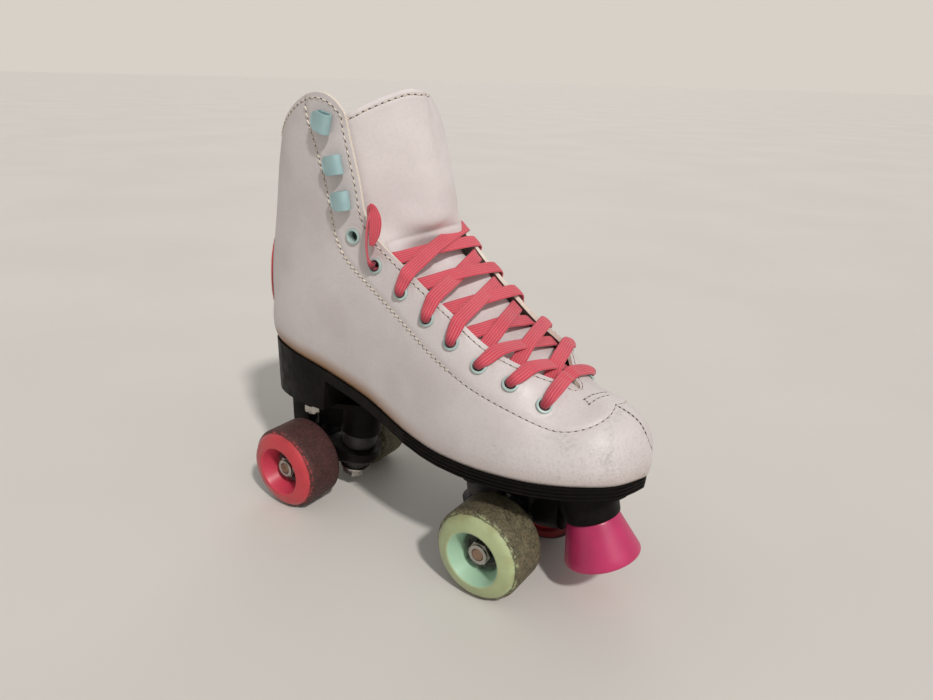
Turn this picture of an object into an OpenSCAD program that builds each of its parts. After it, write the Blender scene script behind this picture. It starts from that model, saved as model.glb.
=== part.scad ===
// Quad roller skate for the right foot: a lofted high boot on a moulded sole,
// two sprung trucks, four wheels on ball bearings and a front stopper.
// +X points to the toe, +Y to the inner side of the foot and +Z up.

/* [Boot] */
// Boot length from heel to toe
boot_l = 282; // [268:1:296]
// Boot width over the ball of the foot
boot_w = 93; // [88:1:98]
// Boot height from the sole to the front of the collar
boot_h = 194; // [180:1:210]
// Thickness of the outer leather
upper_t = 1.8; // [1.4:0.1:2.2]
// Thickness of the padded lining
lining_t = 2.4; // [1.6:0.1:3]
// How far the facing strips stand proud of the leather
facing_step = 0.6; // [0.3:0.1:1]
// Thickness of the backstay strip
backstay_t = 1; // [0.6:0.1:1.4]
// Thickness of the padded tongue at its middle
tongue_t = 8; // [6:0.5:10]
// How far the tongue runs under the facings
tongue_lap = 8; // [6:0.5:10]
// Thickness of the insole board
board_t = 2; // [1.5:0.1:3]
// Thickness of the insole
insole_t = 4; // [3:0.5:6]

/* [Lacing] */
// Outer diameter of an eyelet
eyelet_d = 9.6; // [9:0.2:11]
// Clear hole through an eyelet
eyelet_hole_d = 6.4; // [5.6:0.1:6.6]
// Width of a lace hook
hook_w = 11; // [8:0.5:13]
// How far a lace hook stands off the leather
hook_h = 6.8; // [5.5:0.1:8]
// Width of the flat lace
lace_w = 8; // [6:0.5:9]
// Thickness of the flat lace
lace_t = 1.2; // [0.8:0.1:1.4]

/* [Sole] */
// Thickness of the sole under the forefoot
sole_t = 7.5; // [6.5:0.5:10]
// How far the sole edge stands out past the leather
rand_out = 1.2; // [0.6:0.1:2]
// Height of a ridge round the sole edge
ridge_out = 0.6; // [0.3:0.1:0.9]
// Length of the heel block at its foot
heel_l = 58; // [52:1:64]
// Forward lean of the back of the heel block
heel_lean = 7; // [4:0.5:10]

/* [Wheels] */
// Wheel diameter
wheel_d = 58; // [54:1:62]
// Width of the tread between its two rims
tread_w = 26.9; // [25:0.1:29]
// How far the outer flank stands out past the rim
flank_h = 5.3; // [4:0.1:7]
// Diameter of the dished mouth
mouth_d = 35.4; // [32:0.2:40]
// Distance between the front and rear axles
wheelbase = 163; // [156:1:170]
// Distance between the outer rims of a pair of wheels
track = 100; // [97:0.5:104]
// Distance from the middle of the boot to the front axle
front_axle_x = 62; // [58:0.5:66]

/* [Bearings and axles] */
// Bearing outer diameter
bearing_d = 22; // [21:0.5:23]
// Bearing bore, also the axle diameter
bearing_bore = 8; // [7:0.5:8]
// Bearing width
bearing_w = 7; // [6.5:0.1:7.5]
// Length of the spacer between the two bearings of a wheel
spacer_l = 4.5; // [3:0.1:5]
// Thickness of an axle washer
washer_t = 1; // [0.8:0.1:1.2]
// Width across the flats of an axle nut
axle_nut_w = 13; // [12:0.5:14]
// Thickness of an axle nut
axle_nut_h = 6; // [5:0.5:7]

/* [Trucks] */
// Height of the chassis under the sole above the axle line
truck_h = 46.5; // [45:0.5:50]
// Lean of the kingpin from upright
kingpin_lean = 12; // [9:0.5:14]
// Kingpin diameter
kingpin_d = 10; // [8:0.5:11]
// Distance of the kingpin ring from the axle
ring_x = 24; // [23:0.5:26]
// Height of the kingpin ring above the axle line
ring_z = 5; // [3:0.5:7]
// Thickness of the kingpin ring
ring_t = 7; // [6:0.5:8]
// Distance along the steering axis from ring to pivot
pivot_l = 45; // [43:0.5:47]
// Pivot pin diameter
pivot_d = 10; // [8:0.5:11]
// Upper cushion height
cushion_top_h = 13.3; // [12:0.1:15]
// Lower cushion height
cushion_low_h = 10.5; // [9:0.1:11.5]
// Cushion diameter
cushion_d = 26; // [22:0.5:28]
// Width across the flats of a kingpin nut
kingpin_nut_w = 15; // [14:0.5:17]
// Thickness of a kingpin nut
kingpin_nut_h = 7; // [6:0.5:8]
// Thickness of the chassis flange under the sole
flange_t = 4; // [3:0.5:6]

/* [Toe stop] */
// Toe stop diameter at the ground end
stop_d = 46; // [40:1:48]
// Toe stop diameter at the boss
stop_top_d = 32; // [28:1:34]
// Toe stop height
stop_h = 27.6; // [24:0.2:30]
// Distance of the toe stop ahead of the front axle
stop_x = 57.5; // [55:0.5:60]
// Height of the middle of its face above the ground
stop_z = 24.7; // [22:0.1:28]
// Forward tilt of the toe stop
stop_tilt = 20.5; // [16:0.5:24]
// Diameter of the stud that holds it
stud_d = 10; // [8:0.5:12]

/* [Hidden] */

// Facets of the round solids
round_fn = 64;
// Facets of the rounds inside a hull
hull_fn = 32;
// Clearance of a fixed fit, such as a bolt in its hole
fit = 0.03;
// Clearance between faces that are pressed together
touch = 0.05;
// Clearance between soft layers
soft = 0.3;
// Running clearance inside the bearings
run = 0.1;
// Half of the gap at the sewn seams
seam = 0.05;

// Heights of the chassis and of the boot on it
axle_z = wheel_d / 2;
plate_z = axle_z + truck_h;
seat_z = plate_z + sole_t;
// Shift that puts the middle of the whole skate on the Z axis
middle_x = 1.24;
front_x = middle_x + front_axle_x;
rear_x = front_x - wheelbase;

// Reference last: its sizes, and four lines over the outer half of the boot.
// Each line has one point per station, from the toe round the sole edge to the
// heel and up the back seam: [forward, sideways, above the sole].
ref_l = 282;
ref_w = 93;
ref_h = 194;
edge_ref = [
    [139.5, 0, 3], [131, 20, 3.5], [115, 34, 3.5], [92, 43, 2], [62, 46.5, 0.3], [30, 45, 0],
    [0, 40, 3.5], [-34, 35, 14], [-70, 32.5, 22], [-105, 31, 28.5], [-130, 21, 31], [-140, 0, 32],
    [-141.8, 0, 59], [-133.5, 0, 99], [-124.5, 0, 137], [-115, 0, 168]];
low_ref = [
    [141.2, 0, 9], [135, 23, 15], [120, 39, 18], [95, 48, 19], [64, 51, 20], [31, 49, 21], [0, 44, 27],
    [-34, 39, 37], [-70, 37, 45], [-107, 38, 51], [-136, 32, 55], [-149, 32, 63], [-146.5, 28.2, 81],
    [-134, 29.4, 109], [-124.2, 30, 143], [-115.8, 44, 154]];
high_ref = [
    [141.86, 0, 15], [136, 10, 30], [121, 20, 40], [97, 30, 43], [76, 40, 50], [50, 44, 57], [24, 44, 67],
    [-4, 42, 77], [-32, 41, 85], [-56, 40, 95], [-70, 42, 107], [-76, 44, 122], [-80, 46, 135],
    [-83, 47, 155], [-86, 48, 175], [-62, 45, 222.5]];
throat_ref = [
    [140.5, 0, 21], [131, 0, 35], [113, 0, 41.5], [94, 1, 44], [74, 20, 56], [50, 26, 65.5],
    [28.6, 28, 79.4], [7.4, 29, 93], [-11.8, 30, 106], [-26.2, 31, 116.5], [-32.3, 32, 125],
    [-34.8, 33, 134], [-36.8, 33, 145.5], [-40.4, 33, 160], [-44, 33.5, 175], [-45, 35, 185]];
// Width of the inner half against the outer half at each station
inner_share = [1, 1, 1, 0.98, 0.95, 0.93, 0.9, 0.89, 0.92, 0.97, 1, 1, 1, 1, 1, 1];
// How far the inner facing stands up and out at the throat at each station
inner_lift = [0, 0, 0, 0, 2, 3, 3.5, 5.5, 8, 8, 6, 4, 2, 0, 0, 0];
lift_out = 0.85;
// Share of each section that lies below the facing, from the fourth station on
facing_share = [0.535, 0.58, 0.62, 0.65, 0.7, 0.755, 0.79, 0.82, 0.835, 0.838, 0.825, 0.8, 0.655];
last_s = len(edge_ref) - 1;
heel_s = 11;
toe_facing_s = 1.78;
wide_facing_s = 3;

// Stations of the eyelets from the ankle to the toe, and of the hooks
eyelet_s = [9.75, 8.32, 7.34, 6.48, 5.73, 4.94, 4.19, 3.38];
hook_s = [14.32, 12.96, 11.63];
hook_share = 0.49;
toe_eyelet_share = 0.38;

function unit(v) = v / norm(v);
function flat_unit(v) = unit([v.x, v.y, 0]);
function grade(p) = [middle_x + p.x * boot_l / ref_l, p.y * boot_w / ref_w, seat_z + p.z * boot_h / ref_h];

// Smooth curve through a list of points or numbers
function line_at(p, s) =
    let (
        n = len(p) - 1,
        i = min(floor(s), n - 1),
        t = s - i,
        a = p[max(i - 1, 0)],
        b = p[i],
        c = p[i + 1],
        d = p[min(i + 2, n)]
    )
    0.5 * (2 * b + (c - a) * t + (2 * a - 5 * b + 4 * c - d) * t * t + (3 * b - a - 3 * c + d) * t * t * t);

function bezier(a, b, c, d, v) =
    pow(1 - v, 3) * a + 3 * v * pow(1 - v, 2) * b + 3 * v * v * (1 - v) * c + pow(v, 3) * d;

// Outer surface of the boot: s runs from toe to collar, v from the sole edge
// to the throat, and side is -1 on the outer half and 1 on the inner half.
function upper_at(s, v, side) =
    let (
        p = grade(bezier(
            line_at(edge_ref, s), line_at(low_ref, s), line_at(high_ref, s), line_at(throat_ref, s), v)),
        wide = side > 0 ? 1 - (1 - line_at(inner_share, s)) * (1 - v * v) : 1,
        lift = side > 0 ? line_at(inner_lift, s) * v * v : 0
    )
    [p.x, side * max(p.y * wide + lift_out * lift, seam), p.z + lift];

// Step of the slopes along the surface
step_s = 0.02;
function along_s(s, v, side) =
    upper_at(min(s + step_s, last_s), v, side) - upper_at(max(s - step_s, 0), v, side);
function along_v(s, v, side) =
    upper_at(s, min(v + step_s, 1), side) - upper_at(s, max(v - step_s, 0), side);
// Millimetres along the leather per unit of v and of s
function speed_v(s, v, side) = norm(along_v(s, v, side)) / (min(v + step_s, 1) - max(v - step_s, 0));
function speed_s(s, v, side) = norm(along_s(s, v, side)) / (min(s + step_s, last_s) - max(s - step_s, 0));
function upper_normal(s, v, side) =
    let (a = along_s(s, v, side), b = along_v(s, v, side), n = side * cross(a, b))
    abs(upper_at(s, v, side).y) > 2 * seam
        ? (v < step_s && s <= heel_s ? flat_unit(n) : unit(n))
        : v < step_s && s <= heel_s ? [sign(heel_s / 2 - s), 0, 0]
        : s > heel_s ? unit([-a.z, 0, a.x])
        : s < step_s ? unit([b.z, 0, -b.x])
        : unit([a.z, 0, -a.x]);
function off_upper(s, v, side, out) =
    let (p = upper_at(s, v, side) + out * upper_normal(s, v, side))
    [p.x, side * max(side * p.y, seam), p.z];

// Share of the section below the facing; its front end closes as a quarter ellipse
function facing_at(s) =
    s <= toe_facing_s ? 1
    : s < wide_facing_s
        ? 1 - (1 - facing_share[0]) * sqrt(1 - pow((wide_facing_s - s) / (wide_facing_s - toe_facing_s), 2))
        : line_at(facing_share, s - wide_facing_s);

// Closed sheet between two grids of points
module sheet(top, bottom, side) {
    rows = len(top);
    cols = len(top[0]);
    size = rows * cols;
    function id(k, i, j) = k * size + i * cols + j;
    function quad(a, b, c, d) = [[a, b, c], [a, c, d]];
    faces = concat(
        [for (i = [0 : rows - 2], j = [0 : cols - 2])
            each quad(id(0, i, j + 1), id(0, i + 1, j + 1), id(0, i + 1, j), id(0, i, j))],
        [for (i = [0 : rows - 2], j = [0 : cols - 2])
            each quad(id(1, i, j + 1), id(1, i, j), id(1, i + 1, j), id(1, i + 1, j + 1))],
        [for (i = [0 : rows - 2]) each quad(id(0, i, 0), id(0, i + 1, 0), id(1, i + 1, 0), id(1, i, 0))],
        [for (i = [0 : rows - 2])
            let (j = cols - 1)
            each quad(id(0, i, j), id(1, i, j), id(1, i + 1, j), id(0, i + 1, j))],
        [for (j = [0 : cols - 2]) each quad(id(0, 0, j), id(1, 0, j), id(1, 0, j + 1), id(0, 0, j + 1))],
        [for (j = [0 : cols - 2])
            let (i = rows - 1)
            each quad(id(0, i, j), id(0, i, j + 1), id(1, i, j + 1), id(1, i, j))]);
    points = [for (g = [top, bottom], row = g, p = row) p];
    polyhedron(points, side > 0 ? faces : [for (f = faces) [f[0], f[2], f[1]]]);
}

// Rows of the upper
upper_rows = 45;
upper_cols = 8;
butt_gap = 0.004;

module quarter(side) {
    function grid(out) = [for (i = [0 : upper_rows])
        let (s = last_s * i / upper_rows, top = facing_at(s) - (s > toe_facing_s ? butt_gap : 0))
        [for (j = [0 : upper_cols])
            off_upper(s, top * j / upper_cols, side, out) + [0, 0, touch]]];
    sheet(grid(0), grid(-upper_t), side);
}

module outer_quarter() color("whitesmoke") quarter(-1);
module inner_quarter() color("whitesmoke") quarter(1);

// The lining starts above the insole board and laps under the facing
lining_foot = 0.1;
lining_lap = 0.15;
lining_cols = 5;
lining_first_s = 0.35;

module lining(side) {
    function grid(out) = [for (i = [0 : upper_rows])
        let (
            s = max(last_s * i / upper_rows, lining_first_s),
            top = facing_at(s) + lining_lap * (1 - facing_at(s)) - (s < toe_facing_s ? lining_foot : 0)
        )
        if (i == 0 || last_s * i / upper_rows > lining_first_s)
            [for (j = [0 : lining_cols])
                let (
                    foot = s < heel_s ? lining_foot : 0,
                    p = off_upper(s, foot + (top - foot) * j / lining_cols, side, out)
                )
                [p.x, side * max(side * p.y, seam + touch), p.z]]];
    sheet(grid(-upper_t - 2 * soft), grid(-upper_t - 2 * soft - lining_t), side);
}

module outer_lining() color("darkseagreen") lining(-1);
module inner_lining() color("darkseagreen") lining(1);

// Facing strip with a punched row of eyelet holes
hole_sides = 8;
barrel_wall = 0.4;
barrel_r = eyelet_hole_d / 2 + barrel_wall;
hole_r = (barrel_r + touch) / cos(180 / hole_sides);
cell_r = hole_r + 1.2;

function eyelet_share(s) = min(0.5, toe_eyelet_share + 0.15 * max(s - eyelet_s[7], 0));
function eyelet_v(s) = facing_at(s) + eyelet_share(s) * (1 - facing_at(s));
function cell_v(s, side) = min(cell_r / speed_v(s, eyelet_v(s), side), 0.36 * (1 - facing_at(s)));
function cell_s(s, side) = cell_r / speed_s(s, eyelet_v(s), side);
function facing_rows(side) = concat(
    [for (s = [1.82, 1.95, 2.2, 2.6]) s],
    [for (i = [7 : -1 : 0])
        let (s = eyelet_s[i], half = cell_s(s, side))
        each [s - half, s + half]],
    [for (s = [10.7 : 0.7 : 14.5]) s],
    [last_s]);
function facing_cols(s, side) = [
    facing_at(s), eyelet_v(s) - cell_v(s, side), eyelet_v(s) + cell_v(s, side), 1];
// First row of the cell of an eyelet
function cell_row(i) = 4 + 2 * (7 - i);

module facing(side) {
    rows = facing_rows(side);
    n = len(rows);
    cols = 4;
    outs = [facing_step, -upper_t];
    grid_points = [for (out = outs, s = rows, v = facing_cols(s, side))
        off_upper(s, v, side, out) + [0, 0, touch]];
    hole_points = [for (out = outs, s = eyelet_s)
        let (
            v = eyelet_v(s),
            c = upper_at(s, v, side) + [0, 0, touch],
            w = upper_normal(s, v, side),
            a = unit(along_s(s, v, side)),
            b = side * cross(w, a)
        )
        for (k = [0 : hole_sides - 1])
            c + out * w + hole_r * (cos(k * 360 / hole_sides) * a + sin(k * 360 / hole_sides) * b)];
    function id(k, i, j) = (k * n + i) * cols + j;
    function hole(k, i, m) = 2 * n * cols + (k * len(eyelet_s) + i) * hole_sides + (m % hole_sides);
    function quad(a, b, c, d) = [[a, b, c], [a, c, d]];
    function is_cell(i, j) = j == 1 && len([for (e = [0 : 7]) if (cell_row(e) == i) 1]) > 0;
    function corner(k, e, m) =
        let (r = cell_row(e))
        m == 0 ? id(k, r + 1, 2) : m == 1 ? id(k, r, 2) : m == 2 ? id(k, r, 1) : id(k, r + 1, 1);
    function ring(k, e) = [for (m = [0 : 3])
        let (c = corner(k, e, m), d = corner(k, e, (m + 1) % 4), h = 2 * m)
        each [[c, hole(k, e, h + 1), hole(k, e, h + 2)], [c, hole(k, e, h + 2), d],
              [d, hole(k, e, h + 2), hole(k, e, h + 3)]]];
    faces = concat(
        [for (i = [0 : n - 2], j = [0 : cols - 2]) if (!is_cell(i, j))
            each quad(id(0, i, j), id(0, i, j + 1), id(0, i + 1, j + 1), id(0, i + 1, j))],
        [for (i = [0 : n - 2], j = [0 : cols - 2]) if (!is_cell(i, j))
            each quad(id(1, i, j), id(1, i + 1, j), id(1, i + 1, j + 1), id(1, i, j + 1))],
        [for (i = [0 : n - 2], j = [0, cols - 1]) each j == 0
            ? quad(id(0, i, 0), id(0, i + 1, 0), id(1, i + 1, 0), id(1, i, 0))
            : quad(id(0, i, j), id(1, i, j), id(1, i + 1, j), id(0, i + 1, j))],
        [for (i = [0, n - 1], j = [0 : cols - 2]) each i == 0
            ? quad(id(0, 0, j), id(1, 0, j), id(1, 0, j + 1), id(0, 0, j + 1))
            : quad(id(0, i, j), id(0, i, j + 1), id(1, i, j + 1), id(1, i, j))],
        [for (e = [0 : 7]) each ring(0, e)],
        [for (e = [0 : 7], f = ring(1, e)) [f[0], f[2], f[1]]],
        [for (e = [0 : 7], m = [0 : hole_sides - 1])
            each quad(hole(0, e, m), hole(1, e, m), hole(1, e, m + 1), hole(0, e, m + 1))]);
    polyhedron(concat(grid_points, hole_points), side > 0 ? faces : [for (f = faces) [f[0], f[2], f[1]]]);
}

module outer_facing() color("white") facing(-1);
module inner_facing() color("white") facing(1);

// Strip over the back seam, spread round the heel. Half widths, at every half station.
backstay_ref = [24, 35, 34.5, 27, 18, 13, 10.5, 9, 8];
backstay_rows = 16;
backstay_cols = 7;
backstay_top_s = 14.8;
backstay_foot_s = 11.15;

module backstay() {
    function half_w(s) = line_at(backstay_ref, 2 * (s - heel_s));
    function grid(out) = [for (i = [0 : backstay_rows])
        let (s = backstay_foot_s + (backstay_top_s - backstay_foot_s) * i / backstay_rows)
        [for (j = [-backstay_cols : backstay_cols])
            let (side = j < 0 ? -1 : 1, v = abs(j) / backstay_cols * half_w(s) / speed_v(s, 0.05, 1))
            j == 0
                ? upper_at(s, 0, 1) + [0, -seam, touch] + out * flat_unit([-1, 0, 0])
                : off_upper(s, v, side, out) + [0, 0, touch]]];
    color("indianred") sheet(grid(touch + backstay_t), grid(touch), 1);
}

// Plan outline of the sole edge, moved out by a distance. At the toe the leather
// swells out over the sole, so an outline outside it draws in there.
outline_steps = 44;
toe_in = 2.6;
toe_in_s = 2.4;
function outline_point(s, side, away) =
    let (
        p = upper_at(s, 0, side),
        n = upper_normal(s, 0, side),
        out = away - (away > 0 ? toe_in * pow(max(1 - s / toe_in_s, 0), 2) : 0)
    )
    s == 0 || s == heel_s ? [p.x + out * sign(n.x), 0] : [p.x + out * n.x, p.y + out * n.y];
function outline(out) = concat(
    [for (i = [0 : outline_steps]) outline_point(heel_s * i / outline_steps, -1, out)],
    [for (i = [outline_steps - 1 : -1 : 1]) outline_point(heel_s * i / outline_steps, 1, out)]);

// Height of the sole edge along the boot: [forward, height], from heel to toe
edge_past = 6;
function edge_profile(up) = concat(
    [[upper_at(heel_s, 0, -1).x - edge_past, upper_at(heel_s, 0, -1).z + up]],
    [for (i = [outline_steps : -2 : 0])
        let (p = upper_at(heel_s * i / outline_steps, 0, -1))
        [p.x, p.z + up]],
    [[upper_at(0, 0, -1).x + edge_past, upper_at(0, 0, -1).z + up]]);
function backwards(p) = [for (i = [len(p) - 1 : -1 : 0]) p[i]];

module along_side(points, wide) rotate([90, 0, 0]) linear_extrude(wide, center = true) polygon(points);

// Slab that follows the sole edge between two heights
module slab(out, low, high) {
    intersection() {
        translate([0, 0, plate_z - flange_t]) linear_extrude(boot_h / 2) polygon(outline(out));
        along_side(concat(edge_profile(high), backwards(edge_profile(low))), 2 * boot_w);
    }
}

module insole_board() color("burlywood") slab(-upper_t - 2 * soft, touch, touch + board_t);

module insole() color("darkseagreen")
    slab(-upper_t - lining_t - 4 * soft, 2 * touch + board_t, 2 * touch + board_t + insole_t);

// Sole edge points that bound the heel block and the ridged forefoot
heel_back_x = upper_at(heel_s, 0, -1).x - rand_out;
ridge_count = 3;
ridge_pitch = 2.2;
ridge_h = 1.2;
ridge_end_s = 6;
ridge_end_x = upper_at(ridge_end_s, 0, -1).x;
bolt_x = 5;
bolt_y = 24;
bolt_d = 6;
bolt_head_d = 11;
bolt_head_h = 2.5;

// Places of the four chassis bolts: [forward, sideways]
bolt_places = [for (x = [front_x - bolt_x, rear_x + bolt_x], y = [-bolt_y, bolt_y]) [x, y]];
function edge_z(x) = lookup(x, edge_profile(0));
function bolt_top(x) = min(edge_z(x - bolt_head_d / 2), edge_z(x + bolt_head_d / 2)) - touch;

module outsole() {
    heel = [
        [heel_back_x, edge_z(heel_back_x) - sole_t / 2],
        [heel_back_x + heel_lean, plate_z],
        [heel_back_x + heel_lean + heel_l, plate_z],
        [heel_back_x + heel_lean + heel_l + 4, edge_z(heel_back_x + heel_lean + heel_l + 4) - sole_t / 2]];
    color([0.1, 0.1, 0.1]) difference() {
        union() {
            slab(rand_out, -sole_t, 0);
            intersection() {
                translate([0, 0, plate_z]) linear_extrude(boot_h / 2) polygon(outline(rand_out));
                along_side(heel, 2 * boot_w);
            }
            intersection() {
                union() {
                    for (i = [1 : ridge_count])
                        let (z = -i * ridge_pitch)
                            slab(rand_out + ridge_out, z - ridge_h / 2, z + ridge_h / 2);
                }
                translate([ridge_end_x, -boot_w, 0]) cube([boot_l, 2 * boot_w, 2 * plate_z]);
            }
        }
        for (b = bolt_places) translate([b.x, b.y, 0]) {
            cylinder(d = bolt_d + 2 * fit, h = 2 * plate_z, $fn = round_fn);
            translate([0, 0, bolt_top(b.x) - bolt_head_h - touch])
                cylinder(d = bolt_head_d + 2 * fit, h = seat_z, $fn = round_fn);
        }
    }
}

// A truck's own frame: its origin is on the axle line and +X points outboard
module at_truck(end) {
    if (end == "front") translate([front_x, 0, axle_z]) children();
    else translate([rear_x, 0, axle_z]) mirror([1, 0, 0]) children();
}

// Ring centre, steering axis and kingpin axis in the truck's frame
steer_axis = [cos(kingpin_lean), 0, sin(kingpin_lean)];
ring_at = [-ring_x, 0, ring_z];
pivot_at = ring_at + pivot_l * steer_axis;
module at_kingpin(up) translate(ring_at) rotate([0, -kingpin_lean, 0]) translate([0, 0, up]) children();
module at_pivot(out) translate(pivot_at) rotate([0, 90 - kingpin_lean, 0]) translate([0, 0, out]) children();

cushion_gap = 0.1;
boss_up = ring_t / 2 + cushion_top_h + 2 * cushion_gap;
washer_down = ring_t / 2 + cushion_low_h + 2 * cushion_gap;
kingpin_washer_t = 1.5;
kingpin_head_d = 16;
kingpin_head_h = 6;
kingpin_head_up = 31;
boss_d = 30;
pivot_wall = 3;
pivot_cup_d = pivot_d + 2 * pivot_wall;
pivot_depth = 10;
post_d = 23;
post_l = 16;
body_w = 34;
body_low = 24;
body_r = 4;
wing_w = 58;
wing_r = 6;
stop_axis = [sin(stop_tilt), 0, -cos(stop_tilt)];
stop_at = [front_x + stop_x, 0, stop_z];
stop_top = stop_at - stop_h * stop_axis;
module at_stop(up) translate(stop_top) rotate([0, -stop_tilt, 0]) translate([0, 0, up]) children();
stop_boss_d = 42;
stop_boss_l = 34;
stud_up = 16;
stud_nut_w = 17;
stud_nut_h = 6;

// Moulded seat of one truck, up to the sole
module truck_seat(outboard) {
    flange_z = truck_h - flange_t;
    kingpin_top_x = -ring_x - (truck_h - ring_z) * tan(kingpin_lean);
    hull() {
        translate([kingpin_top_x, 0, flange_z]) cylinder(d = boss_d, h = flange_t, $fn = hull_fn);
        for (y = [-1, 1]) translate([-bolt_x, y * (wing_w / 2 - wing_r), flange_z])
            cylinder(r = wing_r, h = flange_t, $fn = hull_fn);
        translate([outboard, 0, flange_z]) cylinder(d = body_w, h = flange_t, $fn = hull_fn);
    }
    hull() {
        translate([kingpin_top_x + body_r, 0, body_low])
            cylinder(d = boss_d - 2 * body_r, h = flange_z - body_low, $fn = hull_fn);
        for (y = [-1, 1]) translate([outboard - body_w / 2, y * (body_w / 2 - body_r), body_low])
            cylinder(r = body_r, h = flange_z - body_low, $fn = hull_fn);
    }
    intersection() {
        at_kingpin(boss_up) cylinder(d = boss_d, h = truck_h, $fn = round_fn);
        translate([-2 * truck_h, -truck_h, 0]) cube([4 * truck_h, 2 * truck_h, truck_h]);
    }
    hull() {
        at_pivot(-post_l / 2 + 2) cylinder(d = post_d, h = post_l, $fn = hull_fn);
        translate([pivot_at.x + 2, 0, flange_z - 2]) cube([post_l, post_d, 4], center = true);
    }
}

module truck_seat_holes() {
    at_kingpin(0) cylinder(d = kingpin_d + 2 * fit, h = 3 * truck_h, $fn = round_fn);
    at_kingpin(kingpin_head_up) cylinder(d = kingpin_head_d + 2 * fit, h = truck_h, $fn = round_fn);
    at_pivot(-pivot_depth)
        cylinder(d = pivot_cup_d + 2 * fit, h = pivot_depth + pivot_d / 2 + pivot_wall, $fn = round_fn);
    for (y = [-1, 1]) translate([-bolt_x, y * bolt_y, 0])
        cylinder(d = bolt_d + 2 * fit, h = 3 * truck_h, $fn = round_fn);
}

// Everything above the underside of the sole
module over_sole() along_side(concat(
    [[-boot_l, plate_z - touch]],
    [for (p = edge_profile(-sole_t - touch)) if (p.x > 0) p],
    [[boot_l, plate_z + boot_h], [-boot_l, plate_z + boot_h]]), 2 * boot_w);

base_front_reach = 30;
base_rear_reach = 14;

module front_base() {
    color([0.13, 0.13, 0.14]) difference() {
        union() {
            at_truck("front") truck_seat(base_front_reach);
            hull() {
                translate([front_x + base_front_reach - 8, 0, plate_z - flange_t])
                    cylinder(d = body_w, h = flange_t, $fn = hull_fn);
                translate([stop_top.x, 0, plate_z - flange_t])
                    cylinder(d = stop_boss_d, h = flange_t + 4, $fn = hull_fn);
            }
            at_stop(touch) cylinder(d1 = stop_top_d + 2, d2 = stop_boss_d, h = stop_boss_l, $fn = round_fn);
        }
        at_truck("front") truck_seat_holes();
        at_stop(0) cylinder(d = stud_d + 2 * fit, h = stop_boss_l * 2, $fn = round_fn);
        at_stop(stud_up) cylinder(d = stud_nut_w * 1.2 + 2 * fit, h = stop_boss_l, $fn = round_fn);
        over_sole();
    }
}

module rear_base() {
    color([0.13, 0.13, 0.14]) difference() {
        at_truck("rear") truck_seat(base_rear_reach);
        at_truck("rear") truck_seat_holes();
        over_sole();
    }
}

module chassis_bolts() color("silver") for (b = bolt_places) translate([b.x, b.y, 0]) {
    low = plate_z - flange_t - bolt_nut_h - 2;
    top = bolt_top(b.x);
    translate([0, 0, low]) cylinder(d = bolt_d, h = top - bolt_head_h / 2 - low, $fn = round_fn);
    translate([0, 0, top - bolt_head_h]) cylinder(d = bolt_head_d, h = bolt_head_h, $fn = round_fn);
}

bolt_nut_w = 10;
bolt_nut_h = 5;
module nut(width, high, hole) difference() {
    cylinder(d = width / cos(30), h = high, $fn = 6);
    translate([0, 0, -high]) cylinder(d = hole + 2 * fit, h = 3 * high, $fn = round_fn);
}

module chassis_nuts() color("silver") for (b = bolt_places)
    translate([b.x, b.y, plate_z - flange_t - touch - bolt_nut_h]) nut(bolt_nut_w, bolt_nut_h, bolt_d);

// Kingpin: head in the chassis, shank down through the cushions to the nut
kingpin_end = 2;
module kingpin(end) at_truck(end) {
    down = washer_down + kingpin_washer_t + kingpin_nut_h + kingpin_end;
    at_kingpin(-down) cylinder(d = kingpin_d, h = down + kingpin_head_up + 1, $fn = round_fn);
    at_kingpin(kingpin_head_up + touch) cylinder(d = kingpin_head_d, h = kingpin_head_h, $fn = round_fn);
}
module front_kingpin() color("silver") kingpin("front");
module rear_kingpin() color("silver") kingpin("rear");

module kingpin_nuts() color("silver") for (end = ["front", "rear"]) at_truck(end)
    at_kingpin(-washer_down - kingpin_washer_t - touch - kingpin_nut_h)
        nut(kingpin_nut_w, kingpin_nut_h, kingpin_d);

module tube(outer, inner, high) difference() {
    cylinder(d = outer, h = high, $fn = round_fn);
    translate([0, 0, -high]) cylinder(d = inner, h = 3 * high, $fn = round_fn);
}

module cushion_washers() color("silver") for (end = ["front", "rear"]) at_truck(end)
    at_kingpin(-washer_down - kingpin_washer_t) tube(cushion_d - 3, kingpin_d + 2 * fit, kingpin_washer_t);

// Cushions: the upper one is a barrel, the lower one a cone
cushion_belly = 1.2;
module upper_cushion(end) at_truck(end) at_kingpin(ring_t / 2 + cushion_gap)
    rotate_extrude($fn = round_fn) polygon([
        [kingpin_d / 2 + run, 0], [cushion_d / 2 - cushion_belly, 0], [cushion_d / 2, cushion_top_h * 0.3],
        [cushion_d / 2, cushion_top_h * 0.7], [cushion_d / 2 - cushion_belly, cushion_top_h],
        [kingpin_d / 2 + run, cushion_top_h]]);
module lower_cushion(end) at_truck(end) at_kingpin(-washer_down + cushion_gap)
    rotate_extrude($fn = round_fn) polygon([
        [kingpin_d / 2 + run, 0], [cushion_d / 2 - 3, 0], [cushion_d / 2 - 1, cushion_low_h - 2],
        [cushion_d / 2 - 2, cushion_low_h], [kingpin_d / 2 + run, cushion_low_h]]);
module front_upper_cushion() color("dimgray") upper_cushion("front");
module front_lower_cushion() color("dimgray") lower_cushion("front");
module rear_upper_cushion() color("dimgray") upper_cushion("rear");
module rear_lower_cushion() color("dimgray") lower_cushion("rear");

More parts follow.
